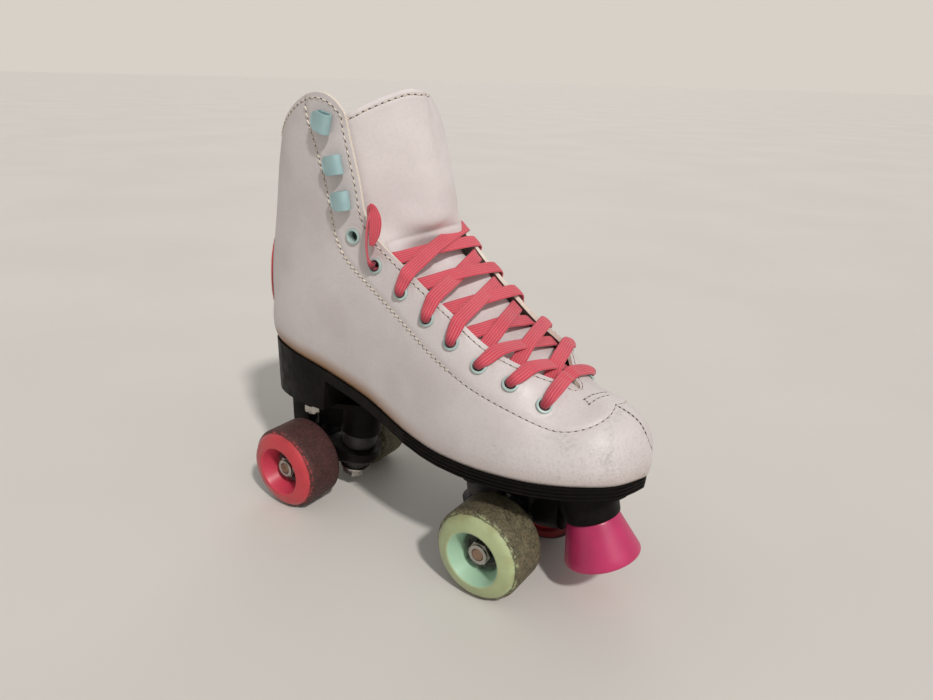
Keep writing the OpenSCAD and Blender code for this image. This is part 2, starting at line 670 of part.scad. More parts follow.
// Pivot cup: a blind sleeve pressed into the chassis
module pivot_cups() color([0.2, 0.2, 0.2]) for (end = ["front", "rear"]) at_truck(end) difference() {
    at_pivot(-pivot_depth)
        cylinder(d = pivot_cup_d, h = pivot_depth + pivot_d / 2 + pivot_wall - touch, $fn = round_fn);
    at_pivot(-2 * pivot_depth) cylinder(d = pivot_d + 2 * run, h = 2 * pivot_depth, $fn = round_fn);
    at_pivot(0) sphere(d = pivot_d + 2 * run, $fn = round_fn);
}

// Hanger: axle housing, kingpin ring and pivot arm in one casting
rim_in = track / 2 - tread_w;
bearing_in = rim_in + 0.4;
hanger_half = bearing_in - washer_t - 2 * touch;
housing_r = 8.5;
ring_d = 34;
ring_bore = kingpin_d + 3.4;
pivot_root = 13;

module hanger(end) at_truck(end) difference() {
    union() {
        rotate([90, 0, 0]) cylinder(r = housing_r, h = 2 * hanger_half, center = true, $fn = round_fn);
        hull() {
            rotate([90, 0, 0]) cylinder(r = housing_r - 1, h = 30, center = true, $fn = hull_fn);
            at_kingpin(-ring_t / 2) cylinder(d = ring_d, h = ring_t, $fn = hull_fn);
        }
        hull() {
            rotate([90, 0, 0]) cylinder(r = housing_r - 1, h = 18, center = true, $fn = hull_fn);
            at_pivot(-pivot_root - 3) cylinder(d = pivot_d + 4, h = 3, $fn = hull_fn);
        }
        at_pivot(-pivot_root - 1) cylinder(d = pivot_d, h = pivot_root + 1, $fn = round_fn);
        at_pivot(0) sphere(d = pivot_d, $fn = round_fn);
    }
    at_kingpin(-truck_h) cylinder(d = ring_bore, h = 2 * truck_h, $fn = round_fn);
    at_kingpin(-ring_t / 2 - truck_h) cylinder(d = cushion_d + 1, h = truck_h, $fn = round_fn);
    rotate([90, 0, 0]) cylinder(d = bearing_bore + 2 * fit, h = 2 * track, center = true, $fn = round_fn);
}
module front_hanger() color([0.22, 0.22, 0.23]) hanger("front");
module rear_hanger() color([0.22, 0.22, 0.23]) hanger("rear");

// Places along the axle, outward from the middle of the truck
bearing_out = bearing_in + bearing_w + spacer_l;
nut_in = bearing_out + bearing_w + washer_t + 2 * touch;
axle_half = nut_in + axle_nut_h + 0.4;
axle_chamfer = 0.8;

module axle(end) at_truck(end) rotate([90, 0, 0]) {
    cylinder(d = bearing_bore, h = 2 * (axle_half - axle_chamfer), center = true, $fn = round_fn);
    for (k = [0, 1]) mirror([0, 0, k]) translate([0, 0, axle_half - axle_chamfer - touch])
        cylinder(
            d1 = bearing_bore, d2 = bearing_bore - 2 * axle_chamfer,
            h = axle_chamfer + touch, $fn = round_fn);
}
module front_axle() color("silver") axle("front");
module rear_axle() color("silver") axle("rear");

// Both ends of an axle, with +Z pointing outward
module at_axle_ends(end) at_truck(end) for (k = [0, 1]) mirror([0, k, 0]) rotate([-90, 0, 0]) children();

// Locking nut: hexagon with a round collar
module lock_nut() difference() {
    union() {
        cylinder(d = axle_nut_w / cos(30), h = axle_nut_h * 0.7, $fn = 6);
        cylinder(d = axle_nut_w - 0.6, h = axle_nut_h, $fn = round_fn);
    }
    translate([0, 0, -axle_nut_h]) cylinder(d = bearing_bore + 2 * fit, h = 3 * axle_nut_h, $fn = round_fn);
}
module axle_nuts(end) at_axle_ends(end) translate([0, 0, nut_in]) lock_nut();
module front_axle_nuts() color("silver") axle_nuts("front");
module rear_axle_nuts() color("silver") axle_nuts("rear");

race_r = bearing_bore / 2 + 2;
module axle_washers(end) at_axle_ends(end)
    for (w = [bearing_in - washer_t - touch, bearing_out + bearing_w + touch])
        translate([0, 0, w]) tube(2 * race_r - 0.4, bearing_bore + 2 * fit, washer_t);
module front_axle_washers() color("silver") axle_washers("front");
module rear_axle_washers() color("silver") axle_washers("rear");

// Ball bearings: races with grooves, seals and balls
ring_wall = 1.7;
ring_r = bearing_d / 2 - ring_wall;
pitch_r = (race_r + ring_r) / 2;
ball_r = (ring_r - race_r) / 2 + 0.3;
ball_count = 7;
seal_t = 0.7;
bearing_starts = [bearing_in, bearing_out];

module race(inner_r, outer_r) rotate_extrude($fn = round_fn) difference() {
    translate([inner_r, 0]) square([outer_r - inner_r, bearing_w]);
    translate([pitch_r, bearing_w / 2]) circle(r = ball_r + run, $fn = round_fn);
}
module inner_races(end) at_axle_ends(end)
    for (w = bearing_starts) translate([0, 0, w]) race(bearing_bore / 2 + fit, race_r);
module front_inner_races() color("silver") inner_races("front");
module rear_inner_races() color("silver") inner_races("rear");

module bearing_spacers(end) at_axle_ends(end) translate([0, 0, bearing_in + bearing_w + touch])
    tube(2 * race_r - 0.6, bearing_bore + 2 * fit, spacer_l - 2 * touch);
module front_bearing_spacers() color("silver") bearing_spacers("front");
module rear_bearing_spacers() color("silver") bearing_spacers("rear");

// One end of one axle: side is -1 on the outer side of the foot
module at_wheel(end, side) translate([end == "front" ? front_x : rear_x, 0, axle_z])
    rotate([side > 0 ? -90 : 90, 0, 0]) children();
module bearing_rings(end, side) color("gainsboro") at_wheel(end, side)
    for (w = bearing_starts) translate([0, 0, w]) race(ring_r, bearing_d / 2);
module bearing_seals(end, side) color([0.1, 0.1, 0.1]) at_wheel(end, side)
    for (w = bearing_starts, d = [0.2, bearing_w - 0.2 - seal_t]) translate([0, 0, w + d])
        tube(2 * (ring_r - fit), 2 * (race_r + run), seal_t);
module bearing_balls(end, side) color("silver") at_wheel(end, side)
    for (w = bearing_starts, k = [1 : ball_count]) rotate([0, 0, k * 360 / ball_count])
        translate([pitch_r, 0, w + bearing_w / 2]) sphere(r = ball_r, $fn = round_fn);

// Wheel: round-shouldered tread, convex outer flank and a deep dish
shoulder_r = 3;
lip_r = 1.6;
land_r = ring_r + 0.6;
dish_r = bearing_d / 2 + 1.4;
back_dish = 3;
function arc(c, r, from, to, n) = [for (i = [0 : n])
    let (a = from + (to - from) * i / n)
    c + r * [cos(a), sin(a)]];
module wheel(end, side) at_wheel(end, side) rotate_extrude($fn = 96) polygon(concat(
    [[bearing_d / 2 + fit, bearing_in - touch], [bearing_d / 2 + fit, bearing_in + bearing_w + touch],
     [land_r, bearing_in + bearing_w + touch], [land_r, bearing_out - touch],
     [bearing_d / 2 + fit, bearing_out - touch], [bearing_d / 2 + fit, bearing_out + bearing_w],
     [dish_r, bearing_out + bearing_w + 1]],
    arc([mouth_d / 2 + lip_r * 0.4, track / 2 + flank_h - lip_r], lip_r, 165, 70, 5),
    [[(mouth_d + wheel_d) / 4 + 1.5, track / 2 + flank_h * 0.62]],
    arc([wheel_d / 2 - shoulder_r, track / 2 - shoulder_r + 0.6], shoulder_r, 60, 0, 4),
    arc([wheel_d / 2 - shoulder_r, rim_in + shoulder_r], shoulder_r, 0, -90, 4),
    [[wheel_d / 2 - 6, rim_in], [wheel_d / 2 - 7.5, rim_in + back_dish],
     [bearing_d / 2 + 4.5, rim_in + back_dish], [bearing_d / 2 + 3.5, rim_in],
     [bearing_d / 2 + 0.8, rim_in]]));

mint = [0.66, 0.87, 0.75];
coral = [0.9, 0.3, 0.36];
module front_outer_wheel() color(mint) wheel("front", -1);
module front_inner_wheel() color(coral) wheel("front", 1);
module rear_outer_wheel() color(coral) wheel("rear", -1);
module rear_inner_wheel() color(mint) wheel("rear", 1);

// Toe stop: tapered rubber with round edges, on a stud through the boss
stop_round = 2;
stud_head_w = 17;
stud_head_h = 6;
stud_head_down = 18;
stud_end = 2;
module toe_stop() color("mediumvioletred") at_stop(-stop_h) difference() {
    rotate_extrude($fn = 96) polygon(concat(
        [[0, 0]],
        arc([stop_d / 2 - stop_round, stop_round], stop_round, -90, 10, 4),
        arc([stop_top_d / 2 - stop_round, stop_h - stop_round], stop_round, 10, 90, 4),
        [[0, stop_h]]));
    translate([0, 0, stop_h - stud_head_down]) cylinder(d = stud_d + 2 * fit, h = stop_h, $fn = round_fn);
    translate([0, 0, stop_h - stud_head_down - stud_head_h - 2 * touch])
        cylinder(d = stud_head_w + 2 * fit, h = stud_head_h + 2 * touch, $fn = round_fn);
}

module toe_stop_stud() color("silver") {
    low = stud_head_down + stud_head_h / 2;
    at_stop(-low) cylinder(d = stud_d, h = low + stud_up + stud_nut_h + stud_end, $fn = round_fn);
    at_stop(-stud_head_down - stud_head_h - touch) cylinder(d = stud_head_w, h = stud_head_h, $fn = round_fn);
}

module toe_stop_nut() color("silver") at_stop(stud_up + touch) nut(stud_nut_w, stud_nut_h, stud_d);

// Place on the facing, with X along the throat, Y towards it and Z outward
module on_upper(s, v, side, out) {
    p = upper_at(s, v, side) + [0, 0, touch];
    w = upper_normal(s, v, side);
    a = side * unit(along_s(s, v, side));
    b = cross(w, a);
    q = p + out * w;
    multmatrix([[a.x, b.x, w.x, q.x], [a.y, b.y, w.y, q.y], [a.z, b.z, w.z, q.z]]) children();
}

// Eyelet: rolled flange outside, barrel through the facing, washer inside
eyelet_roll = 1;
eyelet_lift = 0.55;
eyelet_back = 0.6;
eyelet_back_d = 8.6;
module eyelet() rotate_extrude($fn = 32) polygon([
    [eyelet_hole_d / 2, -upper_t - eyelet_lift - eyelet_back],
    [eyelet_back_d / 2, -upper_t - eyelet_lift - eyelet_back], [eyelet_back_d / 2, -upper_t - eyelet_lift],
    [barrel_r, -upper_t - eyelet_lift], [barrel_r, facing_step + eyelet_lift],
    [eyelet_d / 2, facing_step + eyelet_lift],
    [eyelet_d / 2 - 0.2, facing_step + eyelet_lift + eyelet_roll * 0.7],
    [eyelet_d / 2 - 1.1, facing_step + eyelet_lift + eyelet_roll],
    [eyelet_hole_d / 2 + 0.4, facing_step + eyelet_lift + eyelet_roll],
    [eyelet_hole_d / 2, facing_step + eyelet_lift + eyelet_roll * 0.6]]);
module eyelets() color([0.62, 0.83, 0.84])
    for (side = [-1, 1], s = eyelet_s) on_upper(s, eyelet_v(s), side, 0) eyelet();

// Lace hook: a strip bent over in a bow, open away from the throat, with a round lip.
// Its middle line runs from the foot round the bend to the lip: [towards the throat, outward].
hook_t = 1.2;
hook_foot = 5.5;
hook_turn = 2;
hook_r = (hook_h - hook_t) / 2;
hook_line = concat(
    [[-hook_foot, hook_t / 2]],
    arc([hook_turn, hook_h / 2], hook_r, -90, 90, 12),
    [for (p = [[0.4, -0.1], [-1.6, -0.5], [-3.4, -1.2], [-5, -2.1], [-6.2, -2.6], [-7.2, -2.4]])
        [p.x, hook_h - hook_t / 2 + p.y]]);
// Outline of a strip of even thickness along a line
function strip(line, thick) =
    let (
        last = len(line) - 1,
        off = [for (i = [0 : last])
            let (d = unit(line[min(i + 1, last)] - line[max(i - 1, 0)]))
            [-d.y, d.x] * thick / 2]
    )
    concat([for (i = [0 : last]) line[i] + off[i]], [for (i = [last : -1 : 0]) line[i] - off[i]]);
hook_corner = 3.5;
module lace_hook() intersection() {
    rotate([90, 0, 90]) linear_extrude(hook_w, center = true) polygon(strip(hook_line, hook_t));
    linear_extrude(3 * hook_h, center = true) hull() {
        translate([-hook_w / 2, 0]) square([hook_w, 2 * hook_h]);
        for (x = [-1, 1]) translate([x * (hook_w / 2 - hook_corner), hook_corner - hook_foot - 1.5])
            circle(hook_corner, $fn = round_fn);
    }
}
function hook_v(s) = 1 - hook_share * 2 * (1 - eyelet_v(s));
hook_lift = 0.35;
module lace_hooks() color([0.62, 0.83, 0.84])
    for (side = [-1, 1], s = hook_s) on_upper(s, hook_v(s), side, facing_step + hook_lift) lace_hook();

// Tongue: tucked under the facings and the lace up to the ankle, then free on
// the inner side and leaning forward. One entry per row, from toe to top:
// stations of the outer edge, and points on the middle and on the free edge.
tongue_s = [3.3, 4, 5, 6, 7, 7.7, 8.3, 9, 10, 11, 12, 12.9, 13.7, 14.35];
tongue_mid_ref = [
    [86, 0, 41], [72, 0, 51], [48, 0, 61.4], [26, 0, 74.5], [4, 0, 87], [-9.5, 0, 95.5],
    [-20.5, 0, 103.5], [-17, 0, 115], [-11.5, 0, 124], [-13.5, 0, 138], [-16, 0, 152], [-18.5, 0, 166],
    [-21, 0, 182], [-23, 0, 198]];
tongue_free_ref = [
    [-27, 24, 109], [-18.5, 26, 121], [-9, 26, 129], [-10.5, 26, 139], [-14, 26, 152], [-17.5, 26, 166],
    [-22, 26, 181], [-28, 23, 195]];
tongue_tucked = len(tongue_s) - len(tongue_free_ref);
tongue_cols = 12;
tongue_steps = 2;
tongue_under = 7;
tongue_edge_t = 2.5;
tongue_bow = 3;
tongue_arch = 5.5;

function throat_mid(s) =
    let (a = upper_at(s, 1, -1), b = upper_at(s, 1, 1))
    [(a.x + b.x) / 2, 0, (a.z + b.z) / 2];
function throat_run(s) = unit(throat_mid(min(s + 0.3, last_s)) - throat_mid(s - 0.3));
function throat_up(s) = let (t = throat_run(s)) [t.z, 0, -t.x];
function tongue_side(s, side, lap) =
    let (v = 1 - lap / speed_v(s, 0.97, side))
    upper_at(s, v, side) - tongue_under * upper_normal(s, v, side);
function tongue_free(row) =
    let (m = grade(tongue_mid_ref[row]), e = grade(tongue_free_ref[row - tongue_tucked]))
    [(m + e) / 2 + [tongue_bow, 0, 0], e];
function tongue_line(row) = concat(
    [for (lap = [tongue_lap, 0]) tongue_side(tongue_s[row], -1, lap)],
    [grade(tongue_mid_ref[row])],
    row < tongue_tucked
        ? [tongue_side(tongue_s[row], 1, 0), tongue_side(tongue_s[row], 1, tongue_lap)]
        : tongue_free(row));
tongue_lines = [for (row = [0 : len(tongue_s) - 1]) tongue_line(row)];
// The top edge arches up beside the outer facing
function tongue_rise(t, w) = tongue_arch * pow(max(t - len(tongue_s) + 3, 0) / 2, 2)
    * pow(max(1 - pow((w + 0.3) / 0.5, 2), 0), 2);
function tongue_at(t, w) =
    line_at([for (l = tongue_lines) line_at(l, 2 + 2 * w)], t) + [0, 0, tongue_rise(t, w)];
function tongue_normal(t, w) =
    let (
        e = 0.1,
        last = len(tongue_s) - 1,
        a = tongue_at(min(t + e, last), w) - tongue_at(max(t - e, 0), w),
        b = tongue_at(t, min(w + e, 1)) - tongue_at(t, max(w - e, -1))
    )
    unit(cross(b, a));

module tongue() {
    function swell(w) = tongue_edge_t + (tongue_t - tongue_edge_t) * (1 - pow(w, 4));
    function grid(deep) = [for (i = [0 : tongue_steps * (len(tongue_s) - 1)])
        [for (j = [0 : tongue_cols])
            let (t = i / tongue_steps, w = 2 * j / tongue_cols - 1)
            tongue_at(t, w) - deep * swell(w) * tongue_normal(t, w)]];
    color("white") sheet(grid(0), grid(1), -1);
}

// Lace: one flat ribbon. Each leg joins two eyelets: [number, side, outside or
// inside the facing at that eyelet] twice, then how high it passes at the middle.
lace_bunch = 3.8;
lace_over = facing_step + eyelet_lift + eyelet_roll + lace_t / 2 + 0.8;
lace_edge = facing_step + lace_t / 2 + 1.7;
lace_under = upper_t + eyelet_lift + eyelet_back + lace_t / 2 + 0.3;
lace_pass = lace_t + 0.5;
top = 1;
under = -1;
lace_legs = [
    [[2, -1, under], [3, 1, top], 0], [[3, 1, under], [4, -1, top], 0], [[4, -1, under], [5, 1, top], 0],
    [[5, 1, under], [6, -1, under], 1], [[6, -1, top], [7, 1, under], 0], [[7, 1, top], [8, -1, under], 1],
    [[8, -1, top], [8, 1, top], 2], [[8, 1, under], [7, -1, top], 0], [[7, -1, under], [6, 1, top], 1],
    [[6, 1, under], [5, -1, under], 0], [[5, -1, top], [4, 1, under], 1], [[4, 1, top], [3, -1, under], 1],
    [[3, -1, top], [2, 1, top], 1]];

function lace_eye(i, side, out) =
    let (s = eyelet_s[i - 1])
    upper_at(s, eyelet_v(s), side) + [0, 0, touch] + out * upper_normal(s, eyelet_v(s), side);
function lace_on(s, share, side, out) =
    let (v = eyelet_v(s) + share * (1 - eyelet_v(s)))
    upper_at(s, v, side) + [0, 0, touch] + out * upper_normal(s, v, side);

function edge_run(s, side) = unit(upper_at(s + 0.3, 1, side) - upper_at(s - 0.3, 1, side));

// From an eyelet to the edge of its facing, on the way to another station.
// Each point has a width and the way the width lies.
function leg_end(e, to_s) =
    let (
        s = eyelet_s[e[0] - 1],
        d = to_s - s,
        out = e[2] == top ? lace_over : -lace_under,
        edge_out = e[2] == top ? lace_edge : -lace_under,
        r = edge_run(max(s, eyelet_s[6]), e[1])
    )
    [[lace_eye(e[0], e[1], out), lace_bunch + (e[2] == top ? 1 : 0), r],
     [lace_on(s + 0.1 * d, 0.45, e[1], out), e[2] == top ? lace_w - 1 : lace_bunch + 1.5, r],
     [lace_on(s + 0.2 * d, 1, e[1], edge_out), e[2] == top ? lace_w : lace_w - 1, r]];
function leg(l) =
    let (
        a = eyelet_s[l[0][0] - 1],
        b = eyelet_s[l[1][0] - 1],
        m = (a + b) / 2,
        r = throat_run(max(m, eyelet_s[6])),
        u = throat_up(max(m, eyelet_s[6])),
        from = leg_end(l[0], b),
        to = leg_end(l[1], a),
        mid = throat_mid(m) + (0.9 + l[2] * lace_pass) * u,
        rise = [for (e = [l[0], l[1]]) e[2] == top ? 0.9 : 0.2]
    )
    concat(
        [[lace_eye(l[0][0], l[0][1], 0), lace_bunch, r]], from,
        [[0.55 * from[2][0] + 0.45 * mid + rise[0] * u, lace_w, r], [mid, lace_w, r],
         [0.55 * to[2][0] + 0.45 * mid + rise[1] * u, lace_w, r]],
        backwards(to));

// The outer end stands on edge above the second eyelet, folds over and comes down
// to a tip: [forward, sideways, up] from that eyelet
lace_end_ref = [
    [-1.9, -4, 4.3], [-1.5, -5.5, 14], [-1.1, -4.5, 25], [0.1, -3.5, 33.9], [3.6, -3.5, 32.3],
    [6.6, -4.5, 27.2], [6.9, -5.5, 20.5], [5.4, -6, 14]];
lace_end_w = [6, 6, 6, 6, 6, 7, 6, 3];
edge_way = [0.3, -0.9, 0.3];
face_way = [0.85, 0.4, 0.2];
lace_outer_end = concat(
    [for (i = [len(lace_end_ref) - 1 : -1 : 0])
        let (t = min(max(i - 2.5, 0), 1))
        [lace_eye(2, -1, facing_step) + lace_end_ref[i], lace_end_w[i], (1 - t) * edge_way + t * face_way]],
    [[lace_eye(2, -1, lace_over), lace_bunch, throat_run(eyelet_s[1]) + edge_way]]);
// The inner end runs up behind the inner facing
lace_inner_end = concat(
    [for (out = [0, -lace_under]) [lace_eye(2, 1, out), lace_bunch, throat_run(eyelet_s[1])]],
    [for (s = [8.8 : 0.4 : 11.2]) [lace_on(s, 0.62, 1, -lace_under - 0.3), lace_w - 2, along_v(s, 0.95, 1)]]);

module lace() {
    route = concat(lace_outer_end, [for (l = lace_legs) each leg(l)], lace_inner_end);
    n = len(route);
    function dir(i) = unit(route[min(i + 1, n - 1)][0] - route[max(i - 1, 0)][0]);
    function flat(i) = let (t = dir(i), r = route[i][2]) unit(r - (r * t) * t);
    // The ribbon turns over along its way, so each ring keeps the side of the one before
    function kept(i, w) = i < n ? (flat(i) * w < 0 ? -flat(i) : flat(i)) : w;
    ways = [for (i = 0, w = flat(0); i < n; i = i + 1, w = kept(i, w)) w];
    rings = [for (i = [0 : n - 1])
        let (p = route[i][0], w = ways[i] * route[i][1] / 2, h = cross(dir(i), ways[i]) * lace_t / 2)
        each [p + w + h, p - w + h, p - w - h, p + w - h]];
    faces = concat(
        [[0, 1, 2], [0, 2, 3]],
        [for (i = [0 : n - 2], k = [0 : 3])
            let (a = 4 * i + k, b = 4 * i + (k + 1) % 4)
            each [[a, a + 4, b + 4], [a, b + 4, b]]],
        [[4 * n - 4, 4 * n - 2, 4 * n - 3], [4 * n - 4, 4 * n - 1, 4 * n - 2]]);
    color([0.92, 0.36, 0.42]) polyhedron(rings, faces);
}

outer_quarter();
inner_quarter();
outer_facing();
inner_facing();
outer_lining();
inner_lining();
backstay();
tongue();
insole();
insole_board();
eyelets();
lace_hooks();
lace();
outsole();
front_base();
rear_base();
chassis_bolts();
chassis_nuts();
front_kingpin();
rear_kingpin();
kingpin_nuts();
cushion_washers();
front_upper_cushion();
front_lower_cushion();
rear_upper_cushion();
rear_lower_cushion();
pivot_cups();
toe_stop();
toe_stop_stud();
toe_stop_nut();
front_hanger();
front_axle();
front_axle_nuts();
front_axle_washers();
front_inner_races();
front_bearing_spacers();
rear_hanger();
rear_axle();
rear_axle_nuts();
rear_axle_washers();
rear_inner_races();
rear_bearing_spacers();
front_outer_wheel();
bearing_rings("front", -1);  // front_outer_bearing_rings
bearing_seals("front", -1);  // front_outer_bearing_seals
bearing_balls("front", -1);  // front_outer_bearing_balls
front_inner_wheel();
bearing_rings("front", 1);  // front_inner_bearing_rings
bearing_seals("front", 1);  // front_inner_bearing_seals
bearing_balls("front", 1);  // front_inner_bearing_balls
rear_outer_wheel();
bearing_rings("rear", -1);  // rear_outer_bearing_rings
bearing_seals("rear", -1);  // rear_outer_bearing_seals
bearing_balls("rear", -1);  // rear_outer_bearing_balls
rear_inner_wheel();
bearing_rings("rear", 1);  // rear_inner_bearing_rings
bearing_seals("rear", 1);  // rear_inner_bearing_seals
bearing_balls("rear", 1);  // rear_inner_bearing_balls
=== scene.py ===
import math

import bpy
import numpy as np
from mathutils import Matrix, Vector

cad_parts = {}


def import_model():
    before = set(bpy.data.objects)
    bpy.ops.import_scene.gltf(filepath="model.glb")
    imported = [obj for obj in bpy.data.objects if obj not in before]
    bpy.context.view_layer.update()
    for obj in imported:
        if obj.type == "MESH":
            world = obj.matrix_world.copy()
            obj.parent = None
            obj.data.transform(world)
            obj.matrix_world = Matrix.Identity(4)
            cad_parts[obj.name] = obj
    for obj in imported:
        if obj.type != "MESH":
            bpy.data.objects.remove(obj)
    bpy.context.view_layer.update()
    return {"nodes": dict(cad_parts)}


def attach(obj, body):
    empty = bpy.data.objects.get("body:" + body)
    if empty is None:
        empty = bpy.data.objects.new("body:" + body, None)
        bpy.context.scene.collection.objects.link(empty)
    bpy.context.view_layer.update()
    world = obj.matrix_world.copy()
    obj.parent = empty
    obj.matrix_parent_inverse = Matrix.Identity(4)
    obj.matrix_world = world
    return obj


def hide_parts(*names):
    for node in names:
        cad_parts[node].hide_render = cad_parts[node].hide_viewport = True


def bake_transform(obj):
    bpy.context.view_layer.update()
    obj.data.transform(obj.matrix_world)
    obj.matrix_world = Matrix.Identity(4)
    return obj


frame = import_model()
nodes = frame["nodes"]
scene = bpy.context.scene

# Lengths below are in millimetres in the row frame; pieces are made in metres
MM = 0.001

# Camera of the photograph
CAMERA_AT = (250.984, -341.860, 290.582)
CAMERA_YAW, CAMERA_PITCH, CAMERA_ROLL = 2.168, -0.367, 0.026
FOCAL_PX, IMAGE_W, SENSOR_W = 717.152, 933, 36.0

# The boot's net, as in the part's source: one point per station from the toe
# round the sole edge to the heel and up the back seam
MIDDLE_X, SEAT_Z, SEAM, TOUCH = 1.24, 83.0, 0.05, 0.05
EDGE = np.array([
    [139.5, 0, 3], [131, 20, 3.5], [115, 34, 3.5], [92, 43, 2], [62, 46.5, 0.3], [30, 45, 0],
    [0, 40, 3.5], [-34, 35, 14], [-70, 32.5, 22], [-105, 31, 28.5], [-130, 21, 31], [-140, 0, 32],
    [-141.8, 0, 59], [-133.5, 0, 99], [-124.5, 0, 137], [-115, 0, 168]])
LOW = np.array([
    [141.2, 0, 9], [135, 23, 15], [120, 39, 18], [95, 48, 19], [64, 51, 20], [31, 49, 21],
    [0, 44, 27], [-34, 39, 37], [-70, 37, 45], [-107, 38, 51], [-136, 32, 55], [-149, 32, 63],
    [-146.5, 28.2, 81], [-134, 29.4, 109], [-124.2, 30, 143], [-115.8, 44, 154]])
HIGH = np.array([
    [141.86, 0, 15], [136, 10, 30], [121, 20, 40], [97, 30, 43], [76, 40, 50], [50, 44, 57],
    [24, 44, 67], [-4, 42, 77], [-32, 41, 85], [-56, 40, 95], [-70, 42, 107], [-76, 44, 122],
    [-80, 46, 135], [-83, 47, 155], [-86, 48, 175], [-62, 45, 222.5]])
THROAT = np.array([
    [140.5, 0, 21], [131, 0, 35], [113, 0, 41.5], [94, 1, 44], [74, 20, 56], [50, 26, 65.5],
    [28.6, 28, 79.4], [7.4, 29, 93], [-11.8, 30, 106], [-26.2, 31, 116.5], [-32.3, 32, 125],
    [-34.8, 33, 134], [-36.8, 33, 145.5], [-40.4, 33, 160], [-44, 33.5, 175], [-45, 35, 185]])
INNER_SHARE = np.array([1, 1, 1, 0.98, 0.95, 0.93, 0.9, 0.89, 0.92, 0.97, 1, 1, 1, 1, 1, 1])
INNER_LIFT = np.array([0, 0, 0, 0, 2, 3, 3.5, 5.5, 8, 8, 6, 4, 2, 0, 0, 0.0])
LIFT_OUT = 0.85
FACING = np.array([0.535, 0.58, 0.62, 0.65, 0.7, 0.755, 0.79, 0.82, 0.835, 0.838, 0.825, 0.8, 0.655])
LAST_S, HEEL_S, TOE_S, WIDE_S = 15.0, 11.0, 1.78, 3.0
EYELET_S = [9.75, 8.32, 7.34, 6.48, 5.73, 4.94, 4.19, 3.38]
UPPER_T, LINING_T, SOFT, FACING_STEP, FACING_EASE = 1.8, 2.4, 0.3, 0.6, 5
EYELET_LIFT, EYELET_ROLL, EYELET_BACK = 0.55, 1.0, 0.6
STEP, NEAR_THROAT, NEAR_SEAM = 0.02, 0.985, 0.05
KEYHOLE_X, KEYHOLE_R = 91.6, 4.0
SIDES = {"outer": -1, "inner": 1}
WHEEL_R = 29.0
# Distance from a facing's line where it stands off fully, and from the sole where no dirt is
ON_FACING, CLEAR_OF_SOLE = 9.0, 99.0
# Radius of the hole under an eyelet and of the dent round it
EYELET_HOLE, EYELET_DENT = 4.0, 6.2


def unit(v):
    return v / np.maximum(np.linalg.norm(v, axis=-1, keepdims=True), 1e-9)


def turns(count):
    """Angles of evenly spaced points on a circle."""
    return np.arange(count) * 2 * math.pi / count


def way_along(points):
    """Distance of each point from the first, along the line of points."""
    return np.concatenate([[0], np.cumsum(np.linalg.norm(np.diff(points, axis=0), axis=1))])


def smooth(x):
    x = np.clip(x, 0, 1)
    return x * x * (3 - 2 * x)


def catmull(points, s):
    """Smooth curve through a list of points or numbers."""
    points, s = np.asarray(points, float), np.asarray(s, float)
    last = len(points) - 1
    i = np.clip(np.floor(s).astype(int), 0, last - 1)
    t = (s - i)[..., None] if points.ndim > 1 else s - i
    a, b = points[np.maximum(i - 1, 0)], points[i]
    c, d = points[i + 1], points[np.minimum(i + 2, last)]
    return 0.5 * (2 * b + (c - a) * t + (2 * a - 5 * b + 4 * c - d) * t**2 + (3 * b - a - 3 * c + d) * t**3)


def upper(s, v, side):
    """Outer surface of the boot: s from toe to collar, v from sole edge to throat."""
    s, v = np.broadcast_arrays(np.asarray(s, float), np.asarray(v, float))
    w = v[..., None]
    a, b, c, d = (catmull(line, s) for line in (EDGE, LOW, HIGH, THROAT))
    p = (1 - w) ** 3 * a + 3 * w * (1 - w) ** 2 * b + 3 * w * w * (1 - w) * c + w**3 * d
    wide, lift = np.ones_like(s), np.zeros_like(s)
    if side > 0:
        wide = 1 - (1 - catmull(INNER_SHARE, s)) * (1 - v * v)
        lift = catmull(INNER_LIFT, s) * v * v
    y = side * np.maximum(p[..., 1] * wide + LIFT_OUT * lift, SEAM)
    return np.stack([p[..., 0] + MIDDLE_X, y, p[..., 2] + SEAT_Z + lift], -1)


def along_s(s, v, side):
    return upper(np.minimum(s + STEP, LAST_S), v, side) - upper(np.maximum(s - STEP, 0), v, side)


def along_v(s, v, side):
    return upper(s, np.minimum(v + STEP, 1), side) - upper(s, np.maximum(v - STEP, 0), side)


def speed_v(s, v, side):
    span = np.minimum(v + STEP, 1) - np.maximum(v - STEP, 0)
    return np.linalg.norm(along_v(s, v, side), axis=-1) / span


def speed_s(s, v, side):
    span = np.minimum(s + STEP, LAST_S) - np.maximum(s - STEP, 0)
    return np.linalg.norm(along_s(s, v, side), axis=-1) / span


def upper_normal(s, v, side):
    s, v = np.broadcast_arrays(np.asarray(s, float), np.asarray(v, float))
    a, b = along_s(s, v, side), along_v(s, v, side)
    n = side * np.cross(a, b)
    foot = (v < STEP) & (s <= HEEL_S)
    n[foot, 2] = 0
    zero = np.zeros_like(s)
    on_seam = np.abs(upper(s, v, side)[..., 1]) <= 2 * SEAM
    ridge = np.stack([a[..., 2], zero, -a[..., 0]], -1)
    ridge = np.where((s > HEEL_S)[..., None], -ridge, ridge)
    ridge = np.where((s < STEP)[..., None], np.stack([b[..., 2], zero, -b[..., 0]], -1), ridge)
    ridge = np.where(foot[..., None], np.stack([np.sign(HEEL_S / 2 - s), zero, zero], -1), ridge)
    return unit(np.where(on_seam[..., None], ridge, n))


def off_upper(s, v, side, out):
    p = upper(s, v, side) + np.asarray(out, float)[..., None] * upper_normal(s, v, side)
    p[..., 1] = side * np.maximum(side * p[..., 1], SEAM)
    p[..., 2] += TOUCH
    return p


